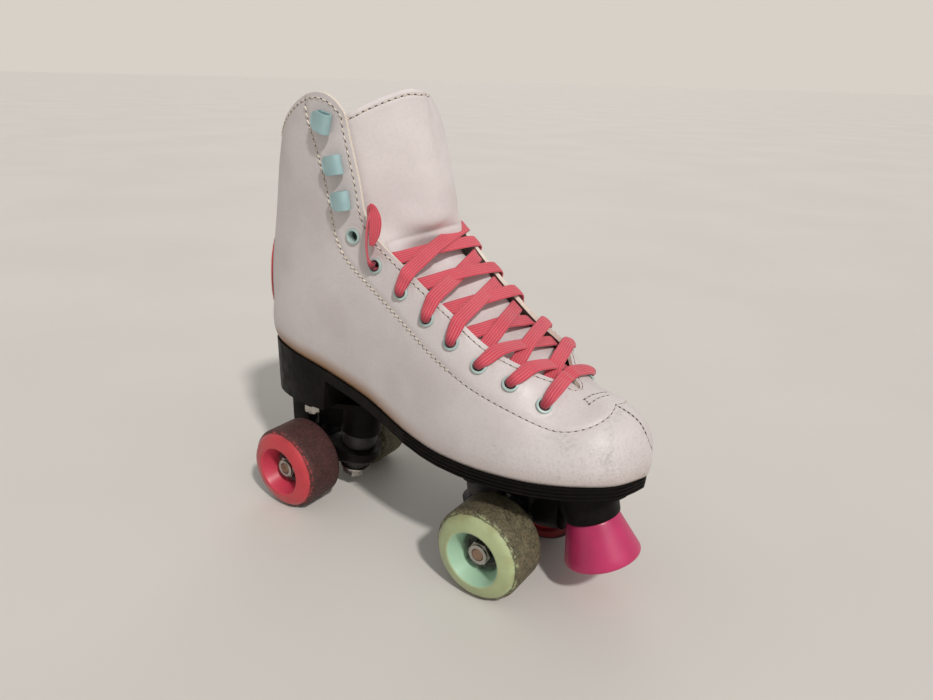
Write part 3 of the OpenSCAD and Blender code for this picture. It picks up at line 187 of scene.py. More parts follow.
def facing_at(s):
    """Share of the section below the facing."""
    s = np.asarray(s, float)
    ahead = np.clip((WIDE_S - s) / (WIDE_S - TOE_S), 0, 1)
    front = 1 - (1 - FACING[0]) * np.sqrt(1 - ahead**2)
    return np.where(s < WIDE_S, front, catmull(FACING, np.maximum(s - WIDE_S, 0)))


def throat_v(s, side):
    """Share at the throat's edge, which ends in a round keyhole at the toe."""
    p = upper(s, np.ones_like(s), side)
    half = np.sqrt(np.maximum(KEYHOLE_R**2 - (p[..., 0] - KEYHOLE_X) ** 2, 0))
    return 1 - np.maximum(half - np.abs(p[..., 1]), 0) / speed_v(s, NEAR_THROAT, side)


def eyelet_v(s):
    """Share at the eyelets: nearer to the facing's line at the toe, in its middle above."""
    f = facing_at(s)
    return f + np.minimum(0.5, 0.38 + 0.15 * np.maximum(np.asarray(s) - EYELET_S[-1], 0)) * (1 - f)


def facing_lift(d):
    """How far the facing stands off the leather at a distance from its stitched line."""
    return FACING_STEP * smooth(np.asarray(d) / FACING_EASE)


def section(s, low, high, shares, side, fine=140):
    """Grid of s and v at shares of the way along each section, the way there and the whole way."""
    v = low[:, None] + (high - low)[:, None] * np.linspace(0, 1, fine)
    p = upper(s[:, None], v, side)
    way = np.cumsum(np.linalg.norm(np.diff(p, axis=1), axis=2), axis=1)
    way = np.concatenate([np.zeros((len(s), 1)), way], 1)
    at = np.stack([np.interp(shares * w[-1], w, x) for w, x in zip(way, v)])
    return np.repeat(s[:, None], len(shares), 1), at, shares[None] * way[:, -1:], way[:, -1:]


def value_noise(p, size, seed=0.0):
    """Smooth repeatable noise from -1 to 1, with bumps about size millimetres apart."""
    q = np.asarray(p, float) / size
    cell = np.floor(q)
    f = smooth(q - cell)
    total = 0
    for corner in np.ndindex(2, 2, 2):
        x, y, z = np.moveaxis(cell + corner, -1, 0)
        h = np.sin(x * 127.1 + y * 311.7 + z * 74.7 + seed) * 43758.5453
        weight = np.prod(np.where(corner, f, 1 - f), axis=-1)
        total = total + weight * ((h - np.floor(h)) * 2 - 1)
    return total


# Procedural materials
def srgb(r, g, b):
    """Linear colour of the given screen colour, 0 to 255."""
    c = np.array([r, g, b]) / 255
    c = np.where(c <= 0.04045, c / 12.92, ((c + 0.055) / 1.055) ** 2.4)
    return (*c.tolist(), 1.0)


class Nodes:
    """Makes and joins the nodes of a tree."""

    def __init__(self, tree):
        self.tree = tree

    def feed(self, value, socket):
        """Joins two sockets or sets a value. Three numbers are a screen colour."""
        if isinstance(value, bpy.types.NodeSocket):
            self.tree.links.new(value, socket)
        else:
            screen = isinstance(value, tuple) and len(value) == 3
            socket.default_value = srgb(*value) if screen else value

    def make(self, kind, inputs, out=0, **settings):
        n = self.tree.nodes.new(kind)
        for key, value in settings.items():
            setattr(n, key, value)
        for key, value in inputs.items():
            self.feed(value, n.inputs[key])
        return n.outputs[out]

    def node(self, kind, inputs, out=0, **settings):
        return self.make("ShaderNode" + kind, inputs, out, **settings)

    def math(self, op, a, b=0.0):
        return self.node("Math", {0: a, 1: b}, operation=op)


class Paint(Nodes):
    """A procedural material and the nodes that feed its shader."""

    def __init__(self, name, **fixed):
        self.material = bpy.data.materials.new(name)
        self.material.use_nodes = True
        super().__init__(self.material.node_tree)
        self.shader = self.tree.nodes["Principled BSDF"]
        self.place = self.tree.nodes.new("ShaderNodeTexCoord").outputs["Object"]
        for socket, value in fixed.items():
            self.set(socket.replace("_", " "), value)

    def set(self, socket, value):
        names = {i.name.lower(): i for i in self.shader.inputs}
        self.feed(value, names[socket.lower()])

    def done(self, colour, rough=None, normal=None):
        for socket, value in (("Base Color", colour), ("Roughness", rough), ("Normal", normal)):
            if value is not None:
                self.set(socket, value)
        return self.material

    def noise(self, scale, detail=3.0, rough=0.5):
        return self.node("TexNoise", {
            "Vector": self.place, "Scale": scale, "Detail": detail, "Roughness": rough})

    def patches(self, scale, detail, low, high, rough=0.5, start=0.0, end=1.0):
        """Noise turned into patches: start below its low level, end above its high one."""
        return self.range(self.noise(scale, detail, rough), low, high, start, end)

    def gloss(self, scale, detail, low, high, level=0.7):
        """Roughness that wanders between two values."""
        return self.patches(scale, detail, 0.3, level, start=low, end=high)

    def cells(self, scale):
        return self.node("TexVoronoi", {"Vector": self.place, "Scale": scale}, "Distance")

    def times(self, value, *others):
        for other in others:
            value = self.math("MULTIPLY", value, other)
        return value

    def plus(self, a, b):
        return self.math("ADD", a, b)

    def minus(self, a, b):
        return self.math("SUBTRACT", a, b)

    def range(self, value, low, high, start=0.0, end=1.0):
        """Smooth step of a value from low to high."""
        return self.node("MapRange", {
            "Value": value, "From Min": low, "From Max": high, "To Min": start, "To Max": end},
            interpolation_type="SMOOTHSTEP")

    def mix(self, share, a, b):
        return self.node("Mix", {0: share, 6: a, 7: b}, 2, data_type="RGBA")

    def tint(self, colour, share, weight, other):
        """A colour with another laid over it."""
        return self.mix(self.times(share, weight), colour, other)

    def bump(self, height, strength, distance, normal=None):
        inputs = {"Height": height, "Strength": strength, "Distance": distance}
        if normal is not None:
            inputs["Normal"] = normal
        return self.node("Bump", inputs)

    def axis(self, name):
        return self.node("SeparateXYZ", {"Vector": self.place}, name)

    def attribute(self, name):
        return self.node("Attribute", {}, "Fac", attribute_name=name)

    def rounded(self, radius):
        """Normal with rounded edges, in metres."""
        return self.node("Bevel", {"Radius": radius}, samples=4)


def two_tone(name, light, dark, patch, gloss=None, grain=None, edge=None, **fixed):
    """Patches of two colours, with uneven gloss, a bumpy grain and rounded edges where given."""
    p = Paint(name, **fixed)
    colour = p.mix(p.patches(*patch), light, dark)
    normal = p.rounded(edge) if edge else None
    if grain:
        *look, strength, distance = grain
        normal = p.bump(p.noise(*look), strength, distance, normal)
    return p.done(colour, p.gloss(*gloss) if gloss else None, normal)


def leather(name, clean, shade, toe_wear=1.0, edge_dirt=1.0):
    """White coated leather: fine grain, soft mottling, scuffs at the toe, stains by the sole, painted shade
    along creases.
    """
    p = Paint(name, Specular_IOR_Level=0.42)
    low = p.attribute("low")
    toe, heel = p.range(p.axis("X"), 0.02, 0.13), p.range(p.axis("X"), 0.035, -0.03)
    scuffed = p.times(toe, p.patches(60, 5, 0.45, 0.75, 0.6))
    colour = p.mix(p.patches(26, 4, 0.35, 0.7), clean, shade)
    colour = p.tint(colour, p.patches(640, 4, 0.40, 0.70, 0.7), 0.13, (160, 150, 147))
    grey = p.times(scuffed, p.patches(420, 5, 0.42, 0.68, 0.65))
    colour = p.tint(colour, grey, 0.42 * toe_wear, (124, 118, 114))
    specks = p.times(p.patches(950, 2, 0.70, 0.76, 0.6), p.plus(scuffed, 0.03))
    colour = p.tint(colour, specks, 0.8 * toe_wear, (70, 64, 62))
    dots = p.times(p.patches(760, 3, 0.52, 0.64, 0.7), toe, p.range(low, 44.0, 5.0))
    colour = p.tint(colour, dots, 0.3 * toe_wear, (134, 126, 120))
    band = p.times(p.range(low, 14.0, 0.8), p.patches(38, 5, 0.14, 0.44, 0.6))
    tan = p.times(band, p.plus(p.times(heel, 0.82), 0.18))
    colour = p.tint(colour, tan, 0.95 * edge_dirt, (150, 112, 76))
    line = p.times(p.range(low, 1.8, 0.2), p.patches(130, 3, 0.25, 0.6))
    colour = p.tint(colour, line, 0.55 * edge_dirt, (96, 82, 72))
    # Painted shade along the tongue's folds
    colour = p.tint(colour, p.attribute("crease_shade"), 0.45, (150, 138, 134))
    rough = p.gloss(70, 4, 0.40, 0.56, 0.75)
    grain = p.plus(p.cells(1500), p.times(p.noise(2600, 2), 0.5))
    return p.done(colour, rough, p.bump(grain, 0.16, 0.00012, p.bump(p.noise(90, 3), 0.10, 0.0012)))


WHITE, WHITE_SHADE = (214, 206, 205), (204, 195, 194)
quarter_leather = leather("quarter_leather", WHITE, WHITE_SHADE)
facing_leather = leather("facing_leather", WHITE, WHITE_SHADE, 0.6)
tongue_leather = leather("tongue_leather", (221, 213, 212), (209, 200, 199), 0.0, 0.0)


def plain_cloth(name, light, dark, scale):
    """Fine knitted or woven cloth."""
    p = Paint(name, Roughness=0.9, Sheen_Weight=0.15, Specular_IOR_Level=0.2)
    weave = p.times(*[p.math("SINE", p.times(p.axis(way), scale)) for way in "XZ"])
    weave = p.plus(p.times(weave, 0.5), p.noise(900, 3))
    colour = p.mix(p.range(weave, 0.1, 0.9), dark, light)
    colour = p.mix(p.patches(30, 3, 0.3, 0.75), colour, dark)
    return p.done(colour, normal=p.bump(weave, 0.35, 0.0003))


lining_cloth = plain_cloth("lining_cloth", (150, 178, 166), (112, 140, 130), 5200)
insole_cloth = plain_cloth("insole_cloth", (146, 172, 162), (104, 128, 120), 4200)
backing_cloth = plain_cloth("backing_cloth", (186, 174, 164), (150, 138, 128), 6000)


def raw_edge():
    """Cut edge of the leather, cream with a fibrous core."""
    return two_tone("raw_edge", (217, 206, 190), (231, 223, 211), (700, 4, 0.3, 0.7, 0.7),
                    grain=(700, 4, 0.7, 0.3, 0.0003), Roughness=0.85, Specular_IOR_Level=0.2)


def thread():
    """Sewing thread: cream on the ankle, pressed flat and greyed towards the toe."""
    p = Paint("thread", Roughness=0.75, Specular_IOR_Level=0.25, Sheen_Weight=0.1)
    colour = p.mix(p.patches(900, 2, 0.3, 0.7), (222, 210, 192), (236, 226, 212))
    colour = p.mix(p.range(p.axis("X"), -0.03, 0.05), colour, (206, 195, 187))
    colour = p.tint(colour, p.patches(240, 3, 0.5, 0.7), 0.35, (138, 124, 110))
    wave = {"Vector": p.place, "Scale": 900.0, "Distortion": 2.0}
    ply = p.node("TexWave", wave, 1, bands_direction="DIAGONAL")
    return p.done(colour, normal=p.bump(ply, 0.4, 0.0002))


def stitch_hole_shade():
    """Painted shade in the needle holes and in the sunk thread between them, in patches of two darks."""
    return two_tone("stitch_hole_shade", (58, 50, 45), (112, 100, 90), (420, 3, 0.3, 0.7),
                    Roughness=0.9, Specular_IOR_Level=0.1)


def coral_leather():
    """Coral strip at the back seam, in coated leather."""
    p = Paint("coral_leather", Specular_IOR_Level=0.4)
    colour = p.mix(p.patches(160, 5, 0.5, 0.78, 0.65), (206, 74, 84), (186, 66, 76))
    rough = p.gloss(70, 4, 0.42, 0.58, 0.75)
    return p.done(colour, rough, p.bump(p.cells(1500), 0.16, 0.00012))


def lace_cloth():
    """Woven coral lace; its ribs are in the mesh, and rows and ribs come from its own lengths."""
    p = Paint("lace_cloth", Roughness=0.82, Specular_IOR_Level=0.22, Sheen_Weight=0.25)
    rib_turn = p.times(p.attribute("across"), math.pi)
    rib = p.math("ABSOLUTE", p.math("SINE", rib_turn))
    pick = p.math("SINE", p.plus(p.times(p.attribute("along"), 7.0), rib_turn))
    colour = p.mix(p.patches(55, 3, 0.3, 0.7), (216, 82, 96), (204, 72, 88))
    colour = p.tint(colour, p.range(pick, -1.0, 1.0), 0.25, (168, 50, 68))
    # Painted shade in a band round the thin parts between ribs, then a thin painted highlight line at the
    # thinnest point
    colour = p.tint(colour, p.range(rib, 0.75, 0.5), 0.45, (172, 48, 68))
    colour = p.tint(colour, p.range(rib, 0.42, 0.08), 0.8, (236, 146, 150))
    # Painted shade where the ribbon is rolled narrow and dives into the eyelets
    colour = p.tint(colour, p.attribute("bunch_shade"), 0.75, (122, 32, 48))
    return p.done(colour, normal=p.bump(pick, 0.25, 0.00025))


def painted_metal(name, light, dark, chip):
    """Pale enamel on metal, chipped at a few places."""
    p = Paint(name, Specular_IOR_Level=0.5, Coat_Weight=0.25, Coat_Roughness=0.35)
    colour = p.mix(p.patches(60, 3, 0.3, 0.7), light, dark)
    colour = p.tint(colour, p.patches(420, 4, 0.66, 0.72, 0.7), 0.55, chip)
    rough = p.gloss(180, 3, 0.34, 0.46)
    return p.done(colour, rough, p.bump(p.noise(700, 3), 0.12, 0.0002, p.rounded(0.0004)))


def black_plastic(name, base, dust, rough, edge, dusty):
    """Moulded black plastic with dust in its texture and rounded edges."""
    p = Paint(name, Specular_IOR_Level=0.09)
    grime, fine = p.patches(75, 5, 0.46, 0.76, 0.65), p.patches(520, 4, 0.5, 0.72, 0.6)
    colour = p.tint(base, p.plus(p.times(grime, 0.6), p.times(fine, 0.25)), dusty, dust)
    gloss = p.gloss(140, 4, rough - 0.07, rough + 0.12)
    return p.done(colour, gloss, p.bump(p.noise(1300, 3), 0.14, 0.00015, p.rounded(edge)))


def steel(name, light, dark, rough):
    """Zinc-plated steel with faint turning marks and tarnish."""
    return two_tone(name, light, dark, (130, 4, 0.4, 0.8, 0.55), (500, 3, rough - 0.06, rough + 0.14),
                    (1500, 2, 0.03, 0.0001), 0.0003, Metallic=1.0)


def rubber(name, light, dark, rough):
    """Soft urethane, for the truck cushions and cups."""
    return two_tone(name, light, dark, (110, 4, 0.35, 0.7), (260, 3, rough - 0.06, rough + 0.1),
                    (900, 3, 0.15, 0.0002), Specular_IOR_Level=0.4)


def wheel_paint(name, axle_x, light, dark, dish, flank_tone, dirt_light, dirt_dark, dirt):
    """Urethane wheel: clean dished flank, dirty tread, painted shade deep in the hub and on the inner flank.
    Distances are from the axle, in metres.
    """
    p = Paint(name, Specular_IOR_Level=0.45, Subsurface_Weight=0.08, Subsurface_Scale=0.004)
    across, up = p.minus(p.axis("X"), axle_x * MM), p.minus(p.axis("Z"), WHEEL_R * MM)
    radius = p.math("SQRT", p.plus(p.times(across, across), p.times(up, up)))
    wander = p.minus(p.noise(190, 6, 0.72), 0.5)
    ragged = p.plus(radius, p.times(wander, 0.0013))
    bare = p.times(p.patches(430, 4, 0.5, 0.57, 0.65), p.range(radius, 0.0289, 0.0276))
    tread = p.times(p.range(ragged, 0.0269, 0.0273), p.minus(1.0, p.times(bare, 0.7)))
    colour = p.mix(p.patches(35, 3, 0.3, 0.7), light, dark)
    colour = p.mix(p.range(radius, 0.0182, 0.0168), colour, dish)
    smear = p.times(p.patches(95, 5, 0.5, 0.8, 0.7), p.range(radius, 0.016, 0.028))
    colour = p.tint(colour, smear, 0.35, dirt_light)
    # Patches of a browner tone on the outer part of the flank
    flank_patches = p.times(p.patches(70, 4, 0.42, 0.66, 0.6), p.range(radius, 0.0212, 0.0268))
    colour = p.tint(colour, flank_patches, 0.5, flank_tone)
    blotch, grit = p.patches(150, 5, 0.36, 0.66, 0.7), p.patches(620, 4, 0.40, 0.60, 0.75)
    speckle = p.plus(p.times(blotch, 0.35), p.times(grit, 0.65))
    colour = p.tint(colour, tread, dirt, p.mix(speckle, dirt_light, dirt_dark))
    # Painted shade deep in the hub round the bearing, nearly black, with a ragged edge
    hub_shade = p.range(p.plus(radius, p.times(wander, 0.003)), 0.0138, 0.0119)
    colour = p.tint(colour, hub_shade, 0.9, (34, 29, 25))
    chips = p.times(p.range(ragged, 0.0225, 0.0268), p.patches(620, 3, 0.66, 0.71, 0.6))
    border = p.times(p.range(ragged, 0.0266, 0.0269), p.range(ragged, 0.0274, 0.0270))
    border = p.times(border, p.patches(260, 4, 0.30, 0.5, 0.6))
    colour = p.tint(colour, p.math("MAXIMUM", chips, border), 0.8, dirt_dark)
    # Painted shade on the inner flank, which faces the truck, in the dirt's dark colour
    inner = p.range(p.math("ABSOLUTE", p.axis("Y")), 0.0265, 0.0245)
    colour = p.tint(colour, inner, 0.55, dirt_dark)
    gloss = p.plus(p.times(tread, 0.36), p.gloss(80, 4, 0.28, 0.42))
    height = p.times(p.noise(800, 4, 0.7), p.plus(tread, 0.06))
    return p.done(colour, gloss, p.bump(height, 0.45, 0.0006))


def stopper_paint():
    """Magenta urethane stopper, glossy on the side and rubbed grey on its face."""
    p = Paint("stopper", Specular_IOR_Level=0.5, Subsurface_Weight=0.1, Subsurface_Scale=0.004)
    rubbed = p.times(p.range(p.axis("Z"), 0.036, 0.018), p.patches(190, 5, 0.5, 0.75, 0.7))
    colour = p.mix(p.patches(40, 3, 0.3, 0.7), (190, 47, 100), (172, 39, 88))
    colour = p.tint(colour, rubbed, 0.4, (126, 74, 92))
    gloss = p.plus(p.times(rubbed, 0.3), p.gloss(90, 3, 0.31, 0.43))
    return p.done(colour, gloss, p.bump(p.noise(500, 3), 0.06, 0.0003))


def board_paint():
    """Pressed fibre board."""
    p = Paint("fibre_board", Roughness=0.9)
    return p.done(p.mix(p.noise(600, 5, 0.7), (150, 118, 82), (186, 154, 112)))


# Building of meshes
def placed(name, data):
    obj = bpy.data.objects.new(name, data)
    scene.collection.objects.link(obj)
    return obj


def tube(rows, count):
    """Quads of a tube: rows along it, count points round it."""
    ids = np.arange(rows * count).reshape(rows, count)
    beside = np.roll(ids, -1, axis=1)
    return np.stack([ids[:-1], beside[:-1], beside[1:], ids[1:]], -1).reshape(-1, 4)


def shell(top, bottom, flip, keep=None):
    """Closed sheet between two grids of points. Kinds: 0 top, 1 bottom, 2 rim."""
    rows, cols = top.shape[:2]
    size = rows * cols
    ids = np.arange(size).reshape(rows, cols)
    quads = np.stack([ids[:-1, :-1], ids[1:, :-1], ids[1:, 1:], ids[:-1, 1:]], -1)
    quads = quads.reshape(-1, 4) if keep is None else quads[keep]
    if flip:
        quads = quads[:, ::-1]
    edges = np.concatenate([quads[:, [k, (k + 1) % 4]] for k in range(4)])
    rim = edges[~np.isin(edges[:, 0] * size + edges[:, 1], edges[:, 1] * size + edges[:, 0])]
    walls = np.stack([rim[:, 1], rim[:, 0], rim[:, 0] + size, rim[:, 1] + size], -1)
    faces = np.concatenate([quads, quads[:, ::-1] + size, walls])
    kinds = np.repeat([0, 1, 2], [len(quads), len(quads), len(walls)])
    points = np.concatenate([top.reshape(-1, 3), bottom.reshape(-1, 3)])
    used = np.unique(faces)
    place = np.zeros(len(points), int)
    place[used] = np.arange(len(used))
    return points[used], place[faces], kinds, used


def piece(name, points, faces, materials, slot, body="skate", kinds=None, replaces=(), bevel=0.0,
          fields=None):
    """Makes an object of the part from points in millimetres."""
    mesh = bpy.data.meshes.new(name)
    mesh.from_pydata((np.asarray(points) * MM).tolist(), [], [list(map(int, f)) for f in faces])
    for m in materials:
        mesh.materials.append(m)
    if kinds is not None:
        mesh.polygons.foreach_set("material_index", np.asarray(kinds, np.int32))
    mesh.polygons.foreach_set("use_smooth", np.ones(len(mesh.polygons), bool))
    for key, values in (fields or {}).items():
        mesh.attributes.new(key, "FLOAT", "POINT").data.foreach_set("value", np.asarray(values, np.float32))
    mesh.update()
    obj = placed(name, mesh)
    if bevel:
        mod = obj.modifiers.new("rim", "BEVEL")
        mod.width, mod.segments, mod.limit_method = bevel * MM, 2, "ANGLE"
        mod.angle_limit, mod.harden_normals = math.radians(50), True
    if body:
        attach(obj, body)
    if replaces:
        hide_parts(*replaces)
    return obj


class Gathered:
    """Points and faces of many small meshes."""

    def __init__(self):
        self.points, self.faces = [], []

    def add(self, points, faces):
        base = len(self.points)
        self.points += list(points)
        self.faces += [[base + k for k in face] for face in faces]


class Sewing:
    """Stitches and needle holes, gathered line by line."""

    # Corners round a stitch, rings along it, and their place, rise and fatness
    AROUND, RINGS = 6, 5
    AT = np.array([-1.0, -0.62, 0.0, 0.62, 1.0])
    RISE = np.array([-0.55, 0.4, 0.62, 0.4, -0.55])
    FAT = np.array([0.5, 0.92, 1.0, 0.92, 0.5])
    # Corners of a hole, and how far its middle stands out and goes in
    CORNERS, HOLE_OUT, HOLE_IN = 8, 0.06, 0.25

    def __init__(self):
        self.stitches, self.holes = Gathered(), Gathered()

    def line(self, points, normals, pitch=3.8, fill=0.66, radius=0.36, slant=0.16, gap=0.36):
        way = way_along(points)
        count = max(int(way[-1] / pitch), 1)
        pitch = way[-1] / count
        mid = (np.arange(count) + 0.5) * pitch
        at = mid[:, None] + self.AT * (fill * pitch / 2)

        def on(where, values):
            return np.stack([np.interp(where, way, values[:, k]) for k in range(3)], -1)

        p, n = on(at, points), unit(on(at, normals))
        run = unit(on(mid + 0.3, points) - on(mid - 0.3, points))[:, None]
        across = unit(np.cross(n, run))
        p = p + across * (slant * (at - mid[:, None]))[..., None] + n * (self.RISE * radius)[None, :, None]
        turn = turns(self.AROUND)[:, None]
        ring = across[:, :, None] * np.cos(turn) + n[:, :, None] * np.sin(turn)
        rings = p[:, :, None] + ring * (self.FAT * radius)[None, :, None, None]
        size = self.RINGS * self.AROUND
        faces = tube(self.RINGS, self.AROUND)[:, [1, 0, 3, 2]].tolist()
        faces += [list(range(self.AROUND)), list(range(size - 1, size - self.AROUND - 1, -1))]
        for stitch in rings:
            self.stitches.add(stitch.reshape(-1, 3), faces)
        edge = np.arange(count + 1) * pitch
        self.gaps(on(edge, points), unit(on(edge, normals)), run, (1 - fill) * pitch / 2 + 0.15, gap)

    # Small dark lenses at the needle holes, in the hole paint: painted shade
    def gaps(self, points, normals, run, long, wide):
        run = np.concatenate([run[:, 0], run[-1:, 0]])
        across = unit(np.cross(normals, run))
        c = self.CORNERS
        faces = [f for k in range(c) for f in ([k, (k + 1) % c, c], [(k + 1) % c, k, c + 1])]
        for p, n, r, a in zip(points, normals, run, across):
            loop = [p + long * math.cos(k) * r + wide * math.sin(k) * a for k in turns(c)]
            self.holes.add([*loop, p + self.HOLE_OUT * n, p - self.HOLE_IN * n], faces)

    def make(self, name, slot):
        piece(name, self.stitches.points, self.stitches.faces, [thread_paint], slot)
        piece(name + "_holes", self.holes.points, self.holes.faces, [hole_shade_paint], slot)


# Rows of the upper, from toe to collar
front_rows = np.linspace(0, TOE_S, 44, endpoint=False)
bend_rows = WIDE_S - (WIDE_S - TOE_S) * np.cos(np.linspace(0, math.pi / 2, 44))
back_rows = np.concatenate([np.linspace(WIDE_S, 3.5, 28)[1:], np.linspace(3.5, LAST_S, 240)[1:]])

raw_edge_paint, thread_paint, hole_shade_paint = raw_edge(), thread(), stitch_hole_shade()
sewing = {"quarter": Sewing(), "tongue": Sewing()}


def dents(p):
    """Soft unevenness of worn leather."""
    return 0.22 * value_noise(p, 34, 1.7) + 0.10 * value_noise(p, 13, 5.2)


def sunk(d):
    """Shallow groove that a row of stitches pulls into the leather."""
    return -0.12 * np.exp(-((d / 0.8) ** 2))


# How far the quarter runs on under the facing, and the facing under the quarter
TUCK, LAP = 2.2, 0.8


def quarter(word, side):
    """One leather half of the boot, tucked under its facing and pulled in at the sole."""
    s = np.concatenate([front_rows, bend_rows, back_rows])
    line = facing_at(s)
    mm = speed_v(s, line, side)
    shares = np.concatenate([np.linspace(0, 0.94, 40), np.linspace(0.95, 1, 9)])
    high = np.minimum(line + TUCK / mm * (s > TOE_S), 1)
    rows, v, way, _ = section(s, np.zeros_like(s), high, shares, side)
    past = (v - line[:, None]) * mm[:, None]
    sewn = smooth((rows - TOE_S) / 0.1)
    tuck = 0.5 * np.exp(-((way / 1.2) ** 2)) * (rows < HEEL_S)
    base = upper(rows, v, side)
    out = dents(base) * smooth(way / 12) * smooth(-past / 4 + (rows <= TOE_S)) - tuck
    out = out + sewn * (sunk(past - 0.7) - 0.35 * np.maximum(past, 0))
    points, faces, kinds, used = shell(
        off_upper(rows, v, side, out), off_upper(rows, v, side, -UPPER_T), side < 0)
    low = np.where(rows < HEEL_S + 0.2, way, CLEAR_OF_SOLE).ravel()
    fields = {"low": np.tile(low, 2)[used], "crease_shade": np.zeros(len(used))}
    piece(word + "_upper", points, faces, [quarter_leather, backing_cloth, raw_edge_paint], "white_leather",
          kinds=kinds, replaces=[word + "_quarter"], bevel=0.45, fields=fields)


def facing(word, side):
    """Strip beside the throat, lapped on the quarter, with holes for the eyelets."""
    s = np.concatenate([bend_rows[1:], back_rows])
    line = facing_at(s)
    shares = np.concatenate([[0, 0.012, 0.024], np.linspace(0.04, 0.97, 44), [0.985, 1.0]])
    low = line - LAP / speed_v(s, line, side)
    rows, v, way, whole = section(s, low, throat_v(s, side), shares, side)
    base = upper(rows, v, side)
    from_edge, past = whole - way, way - LAP
    open_throat = smooth((rows - 2.95) / 0.2)
    out = facing_lift(np.maximum(past, 0)) + 0.5 * np.minimum(past, 0) + sunk(past - 0.7)
    out = out - 0.5 * (1 - smooth((rows - TOE_S) / 0.1)) + sunk(from_edge - THROAT_ROW) * open_throat
    out = out + 0.10 * value_noise(base, 15, 2.3) * smooth(past / 6) * smooth(from_edge / 4)
    middle = (base[:-1, :-1] + base[1:, 1:]) / 2
    keep = np.ones(middle.shape[:2], bool)
    for e in EYELET_S:
        centre = upper(e, eyelet_v(e), side)
        away = np.linalg.norm(base - centre, axis=-1)
        out = out - 0.22 * np.exp(-((away - EYELET_DENT) ** 2))
        keep &= np.linalg.norm(middle - centre, axis=-1) > EYELET_HOLE
    points, faces, kinds, used = shell(
        off_upper(rows, v, side, out), off_upper(rows, v, side, -UPPER_T), side < 0, keep)
    fields = {"low": np.full(len(used), CLEAR_OF_SOLE), "crease_shade": np.zeros(len(used))}
    piece(word + "_facing_strip", points, faces, [facing_leather, backing_cloth, raw_edge_paint],
          "facing_leather", kinds=kinds, replaces=[word + "_facing"], bevel=0.35, fields=fields)


def lining(word, side):
    first, foot = 0.35, 0.1
    s = np.linspace(first, LAST_S, 150)
    f = facing_at(s)
    low = np.where(s < HEEL_S, foot, 0.0)
    high = f + 0.15 * (1 - f) - np.where(s < TOE_S, foot, 0)
    rows, v = section(s, low, high, np.linspace(0, 1, 24), side)[:2]
    collar = smooth((rows - 14.55) / 0.45)
    base = upper(rows, v, side)
    puff = 0.25 * value_noise(base, 18, 3.1)
    top = off_upper(rows, v, side, -UPPER_T - 2 * SOFT + 0.5 * collar)
    bottom = off_upper(rows, v, side, -UPPER_T - 2 * SOFT - LINING_T + puff)
    obj = piece(word + "_padding", *shell(top, bottom, side < 0)[:2], [lining_cloth], "lining",
                replaces=[word + "_lining"], bevel=0.6)


def on_leather(s, v, side, d, up=-0.05):
    """Points and normals on the leather, d millimetres inside the facing's line."""
    s, v = np.broadcast_arrays(np.asarray(s, float), np.asarray(v, float))
    line = facing_at(s)
    past = (v - line) * speed_v(s, line, side)
    uneven = dents(upper(s, v, side)) * smooth(-past / 4 + (s <= TOE_S))
    return off_upper(s, v, side, facing_lift(d) + uneven + up), upper_normal(s, v, side)


# Distances of the stitch rows from the throat's edge and from the collar
THROAT_ROW, COLLAR_ROW = 3.0, 5.0
# Rows of the bar tack over the toe: place, from and to across, thread share
TACK = [(105.2, -6.5, 8.0, 0.34), (109.9, -8.5, 4.5, 0.5)]
TACK_SKEW = 0.3
# Stations of the keyhole, and where the vamp's row becomes the ankle's and ends
KEYHOLE_S, ANKLE_S, ANKLE_END_S = 2.86, 5.4, 14.72


def from_throat(s, d, side):
    s = np.asarray(s, float)
    return throat_v(s, side) - d / speed_v(s, NEAR_THROAT, side)


def joined(parts):
    return [np.concatenate([np.atleast_2d(p[k]) for p in parts]) for k in (0, 1)]


def collar_row(side):
    """Along the collar from the back seam, then down the throat to its base."""
    v = np.linspace(0.02, 1, 160)
    s = LAST_S - COLLAR_ROW / speed_s(14.7, v, side)
    kept = v < from_throat(s, THROAT_ROW, side)
    s, v = s[kept], v[kept]
    d = np.maximum(v - facing_at(s), 0) * speed_v(s, v, side)
    down = np.linspace(s[-1] - 0.08, 3.04, 170)
    inside = from_throat(down, THROAT_ROW, side)
    return [on_leather(s, v, side, d, 0.08), on_leather(down, inside, side, ON_FACING, 0.0)]


def on_toe(x, y):
    """Point and normal on the facing over the toe, found by its place in plan."""
    side, low, high = (-1 if y < 0 else 1), 1.7, 3.2
    for _ in range(30):
        s = (low + high) / 2
        v = 1 - max(abs(y), 0.3) / speed_v(s, NEAR_THROAT, side)
        low, high = (s, high) if upper(s, v, side)[0] > x else (low, s)
    return on_leather(s, v, side, ON_FACING, 0.12)


